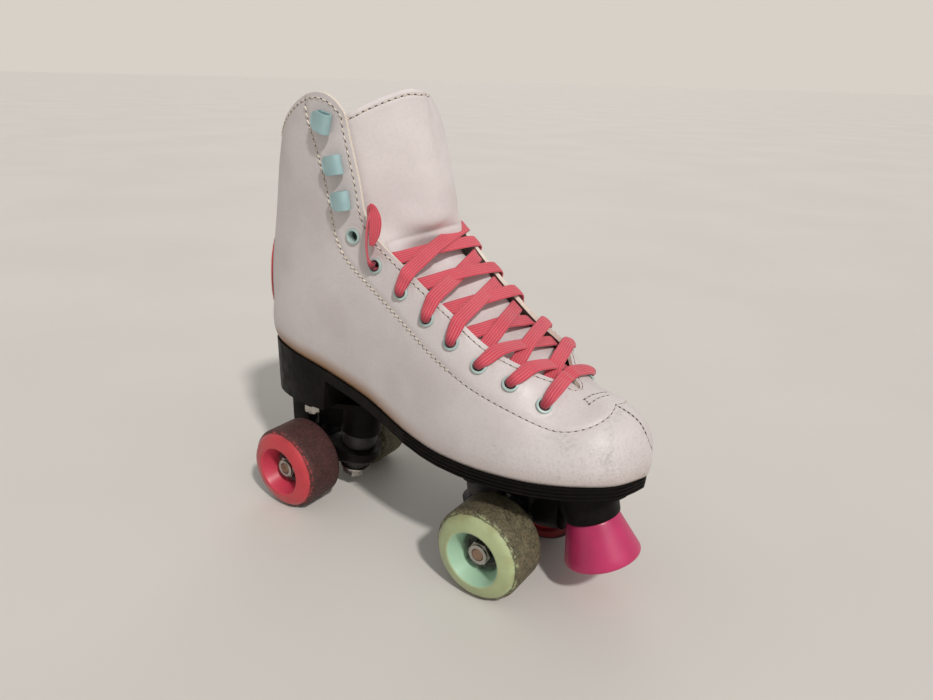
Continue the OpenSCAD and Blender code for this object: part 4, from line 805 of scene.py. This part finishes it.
def boot_stitches():
    sew = sewing["quarter"]
    for side in SIDES.values():
        vamp = np.concatenate([bend_rows[2:], back_rows[back_rows < ANKLE_S]])
        ankle = back_rows[(back_rows >= ANKLE_S) & (back_rows < ANKLE_END_S)]
        for s, look in ((vamp, {"fill": 0.54, "radius": 0.32}),
                        (ankle, {"fill": 0.76, "radius": 0.55, "slant": 0.42, "gap": 0.46})):
            v = facing_at(s) + 0.7 / speed_v(s, facing_at(s), side)
            sew.line(*on_leather(s, np.minimum(v, 1), side, 0.0), **look)
    outer, inner = collar_row(-1), collar_row(1)
    turn = on_leather(KEYHOLE_S, 0.999, -1, ON_FACING)
    back = [[part[0][::-1], part[1][::-1]] for part in inner[::-1]]
    sew.line(*joined(outer + [turn] + back), pitch=4.1, fill=0.62, radius=0.36, gap=0.34)
    # Closed seam along the ridge of the toe: short slanting stitches, small ones near the sole
    near_tack = {"pitch": 2.7, "fill": 0.46, "radius": 0.34, "slant": 0.9, "gap": 0.62}
    near_sole = {"pitch": 3.0, "fill": 0.6, "radius": 0.22, "gap": 0.2}
    for low, high, look in ((0.62, 1.8, near_tack), (0.14, 0.58, near_sole)):
        s = np.linspace(low, high, 60)
        v, d = 1 - 0.6 / speed_v(s, NEAR_THROAT, -1), ON_FACING * smooth((s - TOE_S) / 0.5)
        sew.line(*on_leather(s, v, -1, d, 0.08), **look)
    # Bar tack over the ridge: two straight rows, closed at the outer end
    rows = [[on_toe(x + TACK_SKEW * y, y) for y in np.linspace(start, end, 15)] for x, start, end, _ in TACK]
    for row, (_, _, _, fill) in zip(rows, TACK):
        sew.line(*joined(row), pitch=3.3, fill=fill, radius=0.3, gap=0.34)
    sew.line(*joined([rows[0][0], rows[1][0]]), pitch=2.2, fill=0.5, radius=0.28, gap=0.3)
    sew.make("boot_stitching", "facing_leather")


# Half widths of the heel strip at every half station
BACKSTAY = [24, 35, 34.5, 27, 18, 13, 10.5, 9, 8]
BACKSTAY_FROM_S, BACKSTAY_TO_S, BACKSTAY_OUT, BACKSTAY_ROW = 11.15, 14.8, 1.05, 1.8


def backstay():
    """Strip over the heel seam, wide at its foot, with a row of stitches on each side."""
    rows, cols = 90, 45
    s = np.linspace(BACKSTAY_FROM_S, BACKSTAY_TO_S, rows)
    half = catmull(BACKSTAY, 2 * (s - HEEL_S))

    def grid(out):
        lines = []
        for share in np.linspace(-1, 1, cols):
            side = -1 if share < 0 else 1
            if abs(share) < 1e-6:
                lines.append(upper(s, np.zeros(rows), 1) + [-out, -SEAM, TOUCH])
            else:
                round_off = 0.35 * smooth((abs(share) - 0.95) / 0.05) * (out > 0.5)
                v = abs(share) * half / speed_v(s, NEAR_SEAM, 1)
                lines.append(off_upper(s, v, side, out - round_off))
        return np.stack(lines, 1)

    piece("heel_strip", *shell(grid(BACKSTAY_OUT), grid(0.1), False)[:2], [coral_paint], "coral_leather",
          replaces=["backstay"], bevel=0.25)
    for side in SIDES.values():
        v = (half - BACKSTAY_ROW) / speed_v(s, NEAR_SEAM, 1)
        row = off_upper(s, v, side, BACKSTAY_OUT)
        sewing["quarter"].line(row, upper_normal(s, v, side), fill=0.7, radius=0.34)


# Tongue rows, from toe to top. The free edge is a little fuller than in the part's source.
TONGUE_S = [3.3, 4, 5, 6, 7, 7.7, 8.3, 9, 10, 11, 12, 12.9, 13.7, 14.35]
TONGUE_MID = np.array([
    [86, 0, 43.5], [72, 0, 51.5], [48, 0, 61.4], [26, 0, 74.5], [4, 0, 87], [-9.5, 0, 95.5],
    [-20.5, 0, 103.5], [-17, 0, 115], [-11.5, 0, 124], [-13.5, 0, 138], [-16, 0, 152], [-18.5, 0, 166],
    [-21, 0, 182], [-23, 0, 198]]) + [MIDDLE_X, 0, SEAT_Z]
TONGUE_FREE = np.array([
    [-9.9, 29.7, 106.2], [-9, 30.5, 113], [-8.5, 29.5, 120.5], [-9, 26.5, 129], [-10.5, 26, 139],
    [-14, 26, 152], [-17.5, 26, 166], [-22, 26, 181], [-28, 23, 195]]) + [MIDDLE_X, 0, SEAT_Z]
TONGUE_TIP = np.array([
    [97, -11, 36], [98.5, -5.5, 39.5], [99, 0, 40.5], [98.5, 5.5, 39.5],
    [97, 11, 36]]) + [MIDDLE_X, 0, SEAT_Z]
TONGUE_ROW = 3.2
TONGUE_LAP, TONGUE_UNDER, TONGUE_T, TONGUE_EDGE_T, TONGUE_BOW, TONGUE_ARCH = 8, 7, 8, 2.5, 3, 6.6


def tongue_side(s, side, lap):
    """Point under the leather, lap millimetres from the throat's edge."""
    v = 1 - lap / speed_v(s, 0.97, side)
    return upper(s, v, side) - TONGUE_UNDER * upper_normal(s, v, side)


def tongue_lines():
    """Five points across for each row. Above, the inner edge stands free."""
    tucked = len(TONGUE_S) - len(TONGUE_FREE)
    lines = [TONGUE_TIP]
    for row, s in enumerate(TONGUE_S):
        line = [tongue_side(s, -1, TONGUE_LAP), tongue_side(s, -1, 0), TONGUE_MID[row]]
        if row < tucked:
            line += [tongue_side(s, 1, 0), tongue_side(s, 1, TONGUE_LAP)]
        else:
            e = TONGUE_FREE[row - tucked]
            line += [(TONGUE_MID[row] + e) / 2 + [TONGUE_BOW, 0, 0], e]
        lines.append(line)
    return np.array(lines)


def tongue_grid(t, w):
    """Face of the tongue with its arched top."""
    across = np.stack([catmull(line, 2 + 2 * w) for line in tongue_lines()])
    p = np.stack([catmull(across[:, k], t) for k in range(len(w))], 1)
    top = np.maximum(t - len(across) + 3, 0) / 2
    p[..., 2] += TONGUE_ARCH * top[:, None] ** 2 * np.maximum(1 - ((w + 0.42) / 0.5) ** 2, 0) ** 1.3
    return p


def grid_normals(p):
    return unit(np.cross(np.gradient(p, axis=1), np.gradient(p, axis=0)))


# Folds of the tongue: row and side at both ends, rise of the middle in rows, depth and width in
# millimetres. Above a fold the leather leans in slowly, below it stands out at once.
FOLDS = [(7.25, -0.9, 7.85, 1.05, 0.62, 1.15, 3.0), (6.5, -0.6, 6.8, 0.8, 0.1, 0.4, 2.2)]
CORNER_ROWS, CORNER_CUT = 0.85, 0.3


def tongue():
    """Padded tongue with folds, a rolled rim and a sewn top."""
    last = len(TONGUE_S)
    t = np.concatenate([np.linspace(0, last - 1, 180), np.linspace(last - 1, last, 40)[1:]])
    w = np.linspace(-1, 1, 64)
    p = tongue_grid(t, w)
    # The free top corner is cut round
    near = np.clip((t - last + CORNER_ROWS) / CORNER_ROWS, 0, 1)
    for row, cut in enumerate(CORNER_CUT * (1 - np.sqrt(1 - near**2))):
        p[row] = catmull(p[row], (np.where(w > 0, w * (1 - cut), w) + 1) / 2 * (len(w) - 1))
    n = grid_normals(p)
    tt, ww = np.meshgrid(t, w, indexing="ij")
    row_mm = np.linalg.norm(np.gradient(p, t, axis=0), axis=-1)
    down = np.cumsum(np.linalg.norm(np.diff(p, axis=0, prepend=p[:1]), axis=-1), axis=0)
    to_top = down[-1:] - down
    # Soft unevenness first, then the folds
    crease_shade = np.zeros_like(tt)
    out = 0.35 * value_noise(p, 30, 4.4) + 0.12 * value_noise(p, 11, 9.1)
    for t0, w0, t1, w1, bow, depth, wide in FOLDS:
        share = (ww - w0) / (w1 - w0)
        bowed = t0 + (t1 - t0) * share + bow * np.sin(math.pi * np.clip(share, 0, 1))
        away = (tt - bowed) * row_mm
        fade = smooth(share / 0.25) * smooth((1 - share) / 0.2)
        above, below = np.exp(-away / (2.6 * wide)), np.exp(-((away / wide) ** 2))
        out = out - fade * depth * np.where(away > 0, above, below)
        # Painted shade: a mask that darkens the leather along each fold's line
        crease_shade = np.maximum(crease_shade, 0.6 * fade * np.exp(-((away / (0.35 * wide)) ** 2)))
    # The pad thins out to its sides and its sewn top, and its rim is rolled
    sewn = np.exp(-(((to_top - TONGUE_ROW) / 0.9) ** 2))
    thick = TONGUE_EDGE_T + (TONGUE_T - TONGUE_EDGE_T) * (1 - ww**4)
    thick = np.where(to_top < 6, np.minimum(thick, 3.0 + 5 * smooth(to_top / 6)), thick)
    rim = np.minimum(0.9 * np.abs(ww) ** 12 + 0.9 * smooth(1 - to_top / 2.2), 0.4 * thick)
    # The tip is pressed up: between the throat's edges to the lowest laces, under the toe to the leather
    tip = 2.2 * smooth((tt - 0.5) / 0.6) * smooth((3.2 - tt) / 1.4) * np.maximum(1 - (ww / 0.5) ** 2, 0) ** 2
    tip = tip + smooth((tt - 0.1) / 0.3) * smooth((1.3 - tt) / 0.5) * (0.6 + 2.8 * smooth(np.abs(ww) / 0.5))
    out = out * smooth(to_top / 9) - 0.3 * sewn - rim + tip
    top, bottom = p + out[..., None] * n, p - (thick - rim)[..., None] * n
    points, faces, kinds, used = shell(top, bottom, True)
    fields = {"low": np.full(len(used), CLEAR_OF_SOLE), "crease_shade": np.tile(crease_shade.ravel(), 2)[used]}
    obj = piece("tongue_pad", points, faces, [tongue_leather, lining_cloth, tongue_leather], "tongue_leather",
                kinds=kinds, replaces=["tongue"], bevel=0.4, fields=fields)
    row = np.argmin(np.abs(to_top - TONGUE_ROW), axis=0)
    cols = np.arange(2, len(w) - 3)
    sewing["tongue"].line((top + 0.15 * n)[row[cols], cols], n[row[cols], cols], fill=0.6, radius=0.32)
    sewing["tongue"].make("tongue_stitching", "tongue_leather")


def insole():
    inset, low, high = UPPER_T + LINING_T + 4 * SOFT, 2 * TOUCH + 2, 2 * TOUCH + 6
    s = np.linspace(0.18, 10.85, 90)
    left, right = (upper(s, 0, side) - inset * upper_normal(s, 0, side) for side in (-1, 1))
    share = np.linspace(0, 1, 22)[None, :, None]
    floor = left[:, None] * (1 - share) + right[:, None] * share
    dish = (0.9 * (1 - (2 * share - 1) ** 4))[..., 0] * np.ones((len(s), 1))
    top = floor + np.array([0, 0, high])
    top[..., 2] -= dish + 0.15 * value_noise(top, 16, 8.8)
    obj = piece("footbed", *shell(top, floor + np.array([0, 0, low]), True)[:2], [insole_cloth], "insole",
                replaces=["insole"], bevel=0.5)


# Lace: one ribbon, eyelet to eyelet, routed as in the part's source and a little wider
LACE_W, LACE_T, LACE_BUNCH, LACE_LEAST = 8.8, 1.2, 3.8, 2.8
# Steps of the mesh between route points, ribs across, their height and the flatness of the ribbon
LACE_STEPS, LACE_RIBS, LACE_RIB, LACE_FLAT = 7, 6, 0.10, 0.82
LACE_OVER = FACING_STEP + EYELET_LIFT + EYELET_ROLL + LACE_T / 2 + 0.8
LACE_EDGE = FACING_STEP + LACE_T / 2 + 1.7
LACE_UNDER = UPPER_T + EYELET_LIFT + EYELET_BACK + LACE_T / 2 + 0.3
LACE_PASS = LACE_T + 0.5
# Lift of a leg's middle, shares of its end and its middle between them, and the lift there
LACE_LIFT, LACE_NEAR, LACE_FAR, RISE_TOP, RISE_UNDER = 0.9, 0.55, 0.45, 0.9, 0.2
TOP, UNDER = 1, -1
LACE_LEGS = [
    [(2, -1, UNDER), (3, 1, TOP), 0], [(3, 1, UNDER), (4, -1, TOP), 0], [(4, -1, UNDER), (5, 1, TOP), 0],
    [(5, 1, UNDER), (6, -1, UNDER), 1], [(6, -1, TOP), (7, 1, UNDER), 0], [(7, 1, TOP), (8, -1, UNDER), 1],
    [(8, -1, TOP), (8, 1, TOP), 0.9], [(8, 1, UNDER), (7, -1, TOP), 0], [(7, -1, UNDER), (6, 1, TOP), 1],
    [(6, 1, UNDER), (5, -1, UNDER), 0], [(5, -1, TOP), (4, 1, UNDER), 1], [(4, 1, TOP), (3, -1, UNDER), 1],
    [(3, -1, TOP), (2, 1, TOP), 1]]
LACE_END = np.array([
    [-1.9, -4, 4.3], [-1.5, -5.5, 14], [-1.1, -4.5, 25], [-0.2, -3.5, 33.9], [2.4, -3.5, 32.3],
    [4.6, -4.5, 27.2], [4.7, -5.5, 20.5], [2.6, -6, 13.5]])
LACE_END_W = [6, 6, 6, 6, 6, 7.5, 6.5, 3]
EDGE_WAY, FACE_WAY = np.array([0.58, -0.78, 0.24]), np.array([0.85, 0.4, 0.2])
UP = np.array([0, 0, TOUCH])


def lace_eye(i, side, out):
    """Place over an eyelet, counted from the top."""
    return lace_on(EYELET_S[i - 1], 0, side, out)


def lace_on(s, share, side, out):
    """Place between the line of eyelets and the throat's edge."""
    v = eyelet_v(s) + share * (1 - eyelet_v(s))
    return upper(s, v, side) + UP + out * upper_normal(s, v, side)


def throat_mid(s):
    a, b = upper(s, 1, -1), upper(s, 1, 1)
    return np.array([(a[0] + b[0]) / 2, 0, (a[2] + b[2]) / 2])


def throat_run(s):
    return unit(throat_mid(min(s + 0.3, LAST_S)) - throat_mid(s - 0.3))


def throat_up(s):
    t = throat_run(s)
    return np.array([t[2], 0, -t[0]])


def edge_run(s, side):
    return unit(upper(s + 0.3, 1, side) - upper(s - 0.3, 1, side))


def bulge(e):
    """The way that the ribbon curls over at an eyelet."""
    s = EYELET_S[e[0] - 1]
    return e[2] * upper_normal(s, eyelet_v(s), e[1])


def leg_end(e, to_s):
    """From an eyelet to the throat's edge, over or under the facing."""
    s = EYELET_S[e[0] - 1]
    d = to_s - s
    top = e[2] == TOP
    out, edge_out = (LACE_OVER, LACE_EDGE) if top else (-LACE_UNDER, -LACE_UNDER)
    r, c = edge_run(max(s, EYELET_S[6]), e[1]), bulge(e)
    return [(lace_eye(e[0], e[1], out), LACE_BUNCH + (1 if top else 0), r, c),
            (lace_on(s + 0.1 * d, 0.45, e[1], out), LACE_W - 1 if top else LACE_W, r, c),
            (lace_on(s + 0.2 * d, 1, e[1], edge_out), LACE_W, r, c)]


def leg(a, b, over):
    """One crossing of the throat, from eyelet to eyelet."""
    sa, sb = EYELET_S[a[0] - 1], EYELET_S[b[0] - 1]
    m = (sa + sb) / 2
    r, u = throat_run(max(m, EYELET_S[6])), throat_up(max(m, EYELET_S[6]))
    start, end = leg_end(a, sb), leg_end(b, sa)
    mid = throat_mid(m) + (LACE_LIFT + over * LACE_PASS) * u
    rise = [RISE_TOP if e[2] == TOP else RISE_UNDER for e in (a, b)]
    rear = -unit(along_v(sa, eyelet_v(sa), a[1]))
    between = [(LACE_NEAR * part[2][0] + LACE_FAR * mid + lift * u, LACE_W, r, bulge(e))
               for part, lift, e in zip((start, end), rise, (a, b))]
    return ([(lace_eye(a[0], a[1], 0), LACE_BUNCH, r, rear)] + start
            + [between[0], (mid, LACE_W, r, u), between[1]] + end[::-1])


def lace_route():
    """Points of the lace's middle line, with width, flat way and curl."""
    run = throat_run(EYELET_S[1])
    route = []
    for i in range(len(LACE_END) - 1, -1, -1):
        t = min(max(i - 2.5, 0), 1)
        way = (1 - t) * EDGE_WAY + t * FACE_WAY
        route.append((lace_eye(2, -1, FACING_STEP) + LACE_END[i], LACE_END_W[i], way, np.array([0, -1.0, 0])))
    route.append((lace_eye(2, -1, LACE_OVER), LACE_BUNCH, run + EDGE_WAY, bulge((2, -1, TOP))))
    for a, b, over in LACE_LEGS:
        route += leg(a, b, over)
    rear = -unit(along_v(EYELET_S[1], eyelet_v(EYELET_S[1]), 1))
    route.append((lace_eye(2, 1, 0), LACE_BUNCH, run, rear))
    route.append((lace_eye(2, 1, -LACE_UNDER), LACE_BUNCH, run, bulge((2, 1, UNDER))))
    for s in np.arange(8.8, 11.21, 0.4):
        route.append((lace_on(s, 0.62, 1, -LACE_UNDER - 0.3), LACE_W - 2, unit(along_v(s, 0.95, 1)),
                      bulge((2, 1, UNDER))))
    return [np.array([r[k] for r in route], float) for k in range(4)]


def lace():
    """Sweeps the ribbon along its route and returns its length."""
    points, widths, ways, bulges = lace_route()
    ways = unit(ways)
    for i in range(1, len(ways)):
        if ways[i] @ ways[i - 1] < 0:
            ways[i] = -ways[i]
    at = np.linspace(0, len(points) - 1, (len(points) - 1) * LACE_STEPS + 1)
    p, w = catmull(points, at), np.clip(catmull(widths, at), LACE_LEAST, LACE_W)
    # The free end lies flat at its own width
    free = smooth((at - len(LACE_END) + 1) / 0.8)
    full = np.maximum(free * LACE_W + (1 - free) * w, w)
    flat, curl = catmull(ways, at), catmull(bulges, at)
    run = unit(np.gradient(p, axis=0))
    flat = unit(flat - (flat * run).sum(1, keepdims=True) * run)
    high = np.cross(run, flat)
    sign = np.tanh(4 * (high * curl).sum(1))[:, None]
    # A narrow ribbon is the full width rolled to an arc whose chord is that width
    angles = np.linspace(0.01, 4.2, 200)
    arc = np.interp(-(w / full), -(np.sin(angles / 2) / (angles / 2)), angles)
    x = np.linspace(-1, 1, LACE_RIBS * 4 + 1)
    rib = LACE_RIB * np.abs(np.sin(math.pi * LACE_RIBS * (x + 1) / 2))
    edge = np.sqrt(np.clip(1 - np.abs(x) ** 8, 0, 1))
    half_t = LACE_T / 2 * edge * LACE_FLAT + rib * edge
    turn, end_cos = arc[:, None] / 2 * x, np.cos(arc[:, None] / 2)
    radius = (full / arc)[:, None]
    drop = sign * radius * (np.cos(turn) - end_cos - 0.5 * (1 - end_cos))

    def surface(height):
        y = radius * np.sin(turn) + height * np.sin(turn) * sign
        z = drop + height * np.cos(sign * turn)
        return p[:, None] + y[..., None] * flat[:, None] + z[..., None] * high[:, None]

    ring = np.concatenate([surface(half_t), surface(-half_t)[:, ::-1][:, 1:-1]], 1)
    rows, count = ring.shape[:2]
    caps = [list(range(count))[::-1], list(range((rows - 1) * count, rows * count))]
    across = np.concatenate([x, x[::-1][1:-1]])
    way = way_along(p)
    # The last field masks the painted shade where the ribbon is rolled narrow at the eyelets
    fields = {"across": np.tile(LACE_RIBS * (across + 1) / 2, rows), "along": np.repeat(way, count),
              "bunch_shade": np.repeat(smooth((0.8 - w / full) / 0.35), count)}
    piece("laced_ribbon", ring.reshape(-1, 3), tube(rows, count).tolist() + caps, [lace_cloth()], "lace",
          replaces=["lace"], fields=fields)
    return way[-1]


# Truck cushions: turned rings between the base and the hanger, which bend in the real truck
LEAN = math.radians(12)
FRONT_X, WHEEL_BASE = 62 + MIDDLE_X, 163
REAR_X = FRONT_X - WHEEL_BASE
# Place of the hanger's ring from the axle and the floor, and half its height
RING_BACK, RING_Z, RING_HALF = 24, 34.0, 3.6
CUSHION_BORE, CUSHION_R, UPPER_H, LOWER_H, BARREL_STEPS = 5.1, 13.0, 13.3, 10.5, 12


def ring_of(profile, centre, axis, segments=64):
    """Closed ring turned from a profile of [radius, height] about an axis."""
    axis = np.array(axis, float)
    a = unit(np.cross(axis, [0, 1.0, 0]))
    b = np.cross(axis, a)
    turn = turns(segments)
    round_ = np.cos(turn)[:, None] * a + np.sin(turn)[:, None] * b
    prof = np.array(profile, float)
    points = centre + prof[:, 1, None, None] * axis + prof[:, 0, None, None] * round_[None]
    # The last row meets the first one again
    return points.reshape(-1, 3), tube(len(prof) + 1, segments) % (len(prof) * segments)


def cushions():
    paint = rubber("cushion_urethane", (58, 56, 56), (40, 38, 38), 0.5)
    bore, r = CUSHION_BORE, CUSHION_R
    barrel = [(bore, 0)]
    for k in range(BARREL_STEPS + 1):
        swell = 1.2 * math.sin(math.pi * k / BARREL_STEPS) ** 0.6 - (0.5 if k in (0, BARREL_STEPS) else 0)
        barrel.append((r - 1.2 + swell, UPPER_H * k / BARREL_STEPS))
    barrel.append((bore, UPPER_H))
    cone = [(bore, 0), (r - 3.6, 0), (r - 3.0, 0.5), (r - 1.0, LOWER_H - 2.4), (r - 1.1, LOWER_H - 1.4),
            (r - 2.4, LOWER_H), (bore, LOWER_H)]
    for end, x, sign in (("front", FRONT_X - RING_BACK, -1), ("rear", REAR_X + RING_BACK, 1)):
        axis = np.array([sign * math.sin(LEAN), 0, math.cos(LEAN)])
        ring = np.array([x, 0, RING_Z])
        for word, low, high, profile in (("upper", RING_HALF, RING_HALF + UPPER_H, barrel),
                                         ("lower", -RING_HALF - LOWER_H, -RING_HALF, cone)):
            name = f"{end}_{word}_cushion"
            points, faces = ring_of(profile, ring + low * axis, axis)
            obj = piece(name + "_rubber", points, faces, [paint], "cushion", body=None,
                        replaces=[name], bevel=0.3)
            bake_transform(obj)


# Round shading for the CAD nodes that stay, and rounded edges on the mouldings
WELD, SHARP_ANGLE = 2e-6, math.radians(32)


def shading_group():
    group = bpy.data.node_groups.new("round_shading", "GeometryNodeTree")
    for way in ("INPUT", "OUTPUT"):
        group.interface.new_socket("Geometry", in_out=way, socket_type="NodeSocketGeometry")
    g = Nodes(group)
    start, end = group.nodes.new("NodeGroupInput"), group.nodes.new("NodeGroupOutput")
    welded = g.make("GeometryNodeMergeByDistance", {"Geometry": start.outputs[0], "Distance": WELD})
    angle = g.make("GeometryNodeInputMeshEdgeAngle", {}, "Unsigned Angle")
    sharp = g.math("GREATER_THAN", angle, SHARP_ANGLE)
    shaded = g.make("GeometryNodeSetMeshNormal", {
        "Remove Custom": True, "Mesh": welded, "Edge Sharpness": sharp, "Face Sharpness": False},
        mode="SHARPNESS")
    g.feed(shaded, end.inputs[0])
    return group


round_shading = shading_group()


def dress(name, paint):
    """Gives a CAD node its material and round shading."""
    obj = nodes[name]
    obj.data.materials.clear()
    obj.data.materials.append(paint)
    mod = obj.modifiers.new("round_shading", "NODES")
    mod.node_group = round_shading


coral_paint = coral_leather()
for word, side in SIDES.items():
    quarter(word, side)
    facing(word, side)
    lining(word, side)
backstay()
boot_stitches()
tongue()
insole()
lace_length = lace()
cushions()

for paint, names in (
        (board_paint(), ["insole_board"]),
        (painted_metal("eyelet_enamel", (186, 207, 203), (160, 184, 180), (104, 110, 108)), ["eyelets"]),
        (painted_metal("mint_enamel", (164, 196, 198), (146, 178, 181), (96, 104, 104)), ["lace_hooks"]),
        (black_plastic("sole_rubber", (12, 10, 9), (66, 56, 49), 0.46, 0.0005, 0.16), ["outsole"]),
        (black_plastic("chassis_nylon", (12, 10, 10), (64, 56, 50), 0.44, 0.0008, 0.16),
         ["front_base", "rear_base"]),
        (black_plastic("hanger_coat", (20, 18, 18), (86, 78, 72), 0.40, 0.0008, 0.2),
         ["front_hanger", "rear_hanger"]),
        (stopper_paint(), ["toe_stop"]),
        (rubber("cup_rubber", (52, 50, 50), (36, 34, 34), 0.5), ["pivot_cups"]),
        (steel("plated_steel", (188, 184, 178), (138, 131, 122), 0.28),
         ["chassis_bolts", "chassis_nuts", "front_kingpin", "rear_kingpin", "kingpin_nuts",
          "cushion_washers", "toe_stop_stud", "toe_stop_nut"])):
    for name in names:
        dress(name, paint)

axle_steel = steel("axle_steel", (156, 128, 112), (100, 78, 65), 0.4)
nut_steel = steel("nut_steel", (178, 174, 169), (112, 106, 100), 0.22)
# Bearing steel painted far darker than bright steel: painted shade deep in the hubs
shaded_bearing_steel = steel("shaded_bearing_steel", (92, 88, 84), (42, 39, 36), 0.34)
seal_rubber = rubber("seal_rubber", (44, 42, 42), (30, 28, 28), 0.45)
# Wheels: light, dark, dish and flank patch tone of the urethane, then light and dark of the dirt
MINT = (180, 191, 146), (163, 174, 128), (166, 200, 172), (144, 134, 90)
CORAL = (194, 62, 70), (178, 53, 61), (196, 61, 82), (146, 53, 50)
GREY_DIRT = (112, 101, 77), (42, 36, 28)
DARK_DIRT = (80, 51, 47), (37, 26, 24)
for end, x in (("front", FRONT_X), ("rear", REAR_X)):
    dress(f"{end}_axle", axle_steel)
    for what in ("axle_nuts", "axle_washers"):
        dress(f"{end}_{what}", nut_steel)
    for what in ("inner_races", "bearing_spacers"):
        dress(f"{end}_{what}", shaded_bearing_steel)
    for word in SIDES:
        mint = (end == "front") == (word == "outer")
        colours, dirt = (MINT, GREY_DIRT) if mint else (CORAL, DARK_DIRT)
        share = 0.95 if mint else 0.97
        dress(f"{end}_{word}_wheel", wheel_paint(f"{end}_{word}_urethane", x, *colours, *dirt, share))
        dress(f"{end}_{word}_bearing_rings", shaded_bearing_steel)
        dress(f"{end}_{word}_bearing_balls", shaded_bearing_steel)
        dress(f"{end}_{word}_bearing_seals", seal_rubber)


# Floor, light and camera
WORLD_LIGHT, FLOOR_Z, FLOOR_RADII = 0.38, -0.0001, [0.4, 0.9, 1.8, 3.5, 7.0, 14.0, 30.0]


def floor():
    sides = 64
    points = [(r * math.cos(k), r * math.sin(k), FLOOR_Z) for r in FLOOR_RADII for k in turns(sides)]
    faces = [list(range(sides))] + tube(len(FLOOR_RADII), sides)[:, [0, 3, 2, 1]].tolist()
    mesh = bpy.data.meshes.new("floor")
    mesh.from_pydata(points, [], faces)
    mesh.materials.append(two_tone("floor_paint", (212, 208, 202), (216, 212, 206), (3, 3, 0.3, 0.7),
                                   Roughness=0.75, Specular_IOR_Level=0.25))
    placed("floor", mesh)


def lamp(name, source, strength, spread, colour):
    """Wide parallel light, as even on the far floor as on the skate."""
    data = bpy.data.lights.new(name, "SUN")
    data.energy, data.angle, data.color = strength, math.radians(spread), colour
    obj = placed(name, data)
    obj.rotation_mode = "QUATERNION"
    obj.rotation_quaternion = (-Vector(source)).to_track_quat("-Z", "Y")


def world():
    """Even studio light. The camera sees a plain wall instead."""
    w = bpy.data.worlds.new("studio")
    scene.world = w
    w.use_nodes = True
    w.node_tree.nodes.clear()
    n = Nodes(w.node_tree)
    rays = [n.node("LightPath", {}, f"Is {kind} Ray") for kind in ("Camera", "Glossy", "Transmission")]
    looked_at = n.math("MAXIMUM", n.math("MAXIMUM", rays[0], rays[1]), rays[2])
    light = n.node("Background", {"Color": (1.0, 0.985, 0.965, 1), "Strength": WORLD_LIGHT})
    wall = n.node("Background", {"Color": (215, 209, 200)})
    out = w.node_tree.nodes.new("ShaderNodeOutputWorld")
    n.feed(n.node("MixShader", {0: looked_at, 1: light, 2: wall}), out.inputs["Surface"])


def camera():
    level = math.cos(CAMERA_PITCH)
    d = np.array([level * math.cos(CAMERA_YAW), level * math.sin(CAMERA_YAW), math.sin(CAMERA_PITCH)])
    right = unit(np.cross(d, [0, 0, 1.0]))
    up = np.cross(right, d)
    c, s = math.cos(CAMERA_ROLL), math.sin(CAMERA_ROLL)
    right, up = c * right + s * up, -s * right + c * up
    data = bpy.data.cameras.new("photo_camera")
    data.sensor_fit, data.sensor_width = "HORIZONTAL", SENSOR_W
    data.lens = FOCAL_PX * SENSOR_W / IMAGE_W
    data.clip_start, data.clip_end = 0.01, 50
    m = np.eye(4)
    m[:3, 0], m[:3, 1], m[:3, 2], m[:3, 3] = right, up, -d, np.array(CAMERA_AT) * MM
    scene.camera = placed("photo_camera", data)
    scene.camera.matrix_world = Matrix(m.tolist())


floor()
world()
lamp("key", (0.60, -0.34, 0.72), 1.9, 4, (1.0, 0.97, 0.94))
lamp("fill", (0.9, -0.2, 0.5), 0.30, 40, (1.0, 0.975, 0.95))
lamp("back", (-0.5, 0.9, 0.6), 0.35, 40, (1.0, 0.98, 0.96))
camera()
scene.view_settings.view_transform = "Standard"

print("lace length mm", round(lace_length))
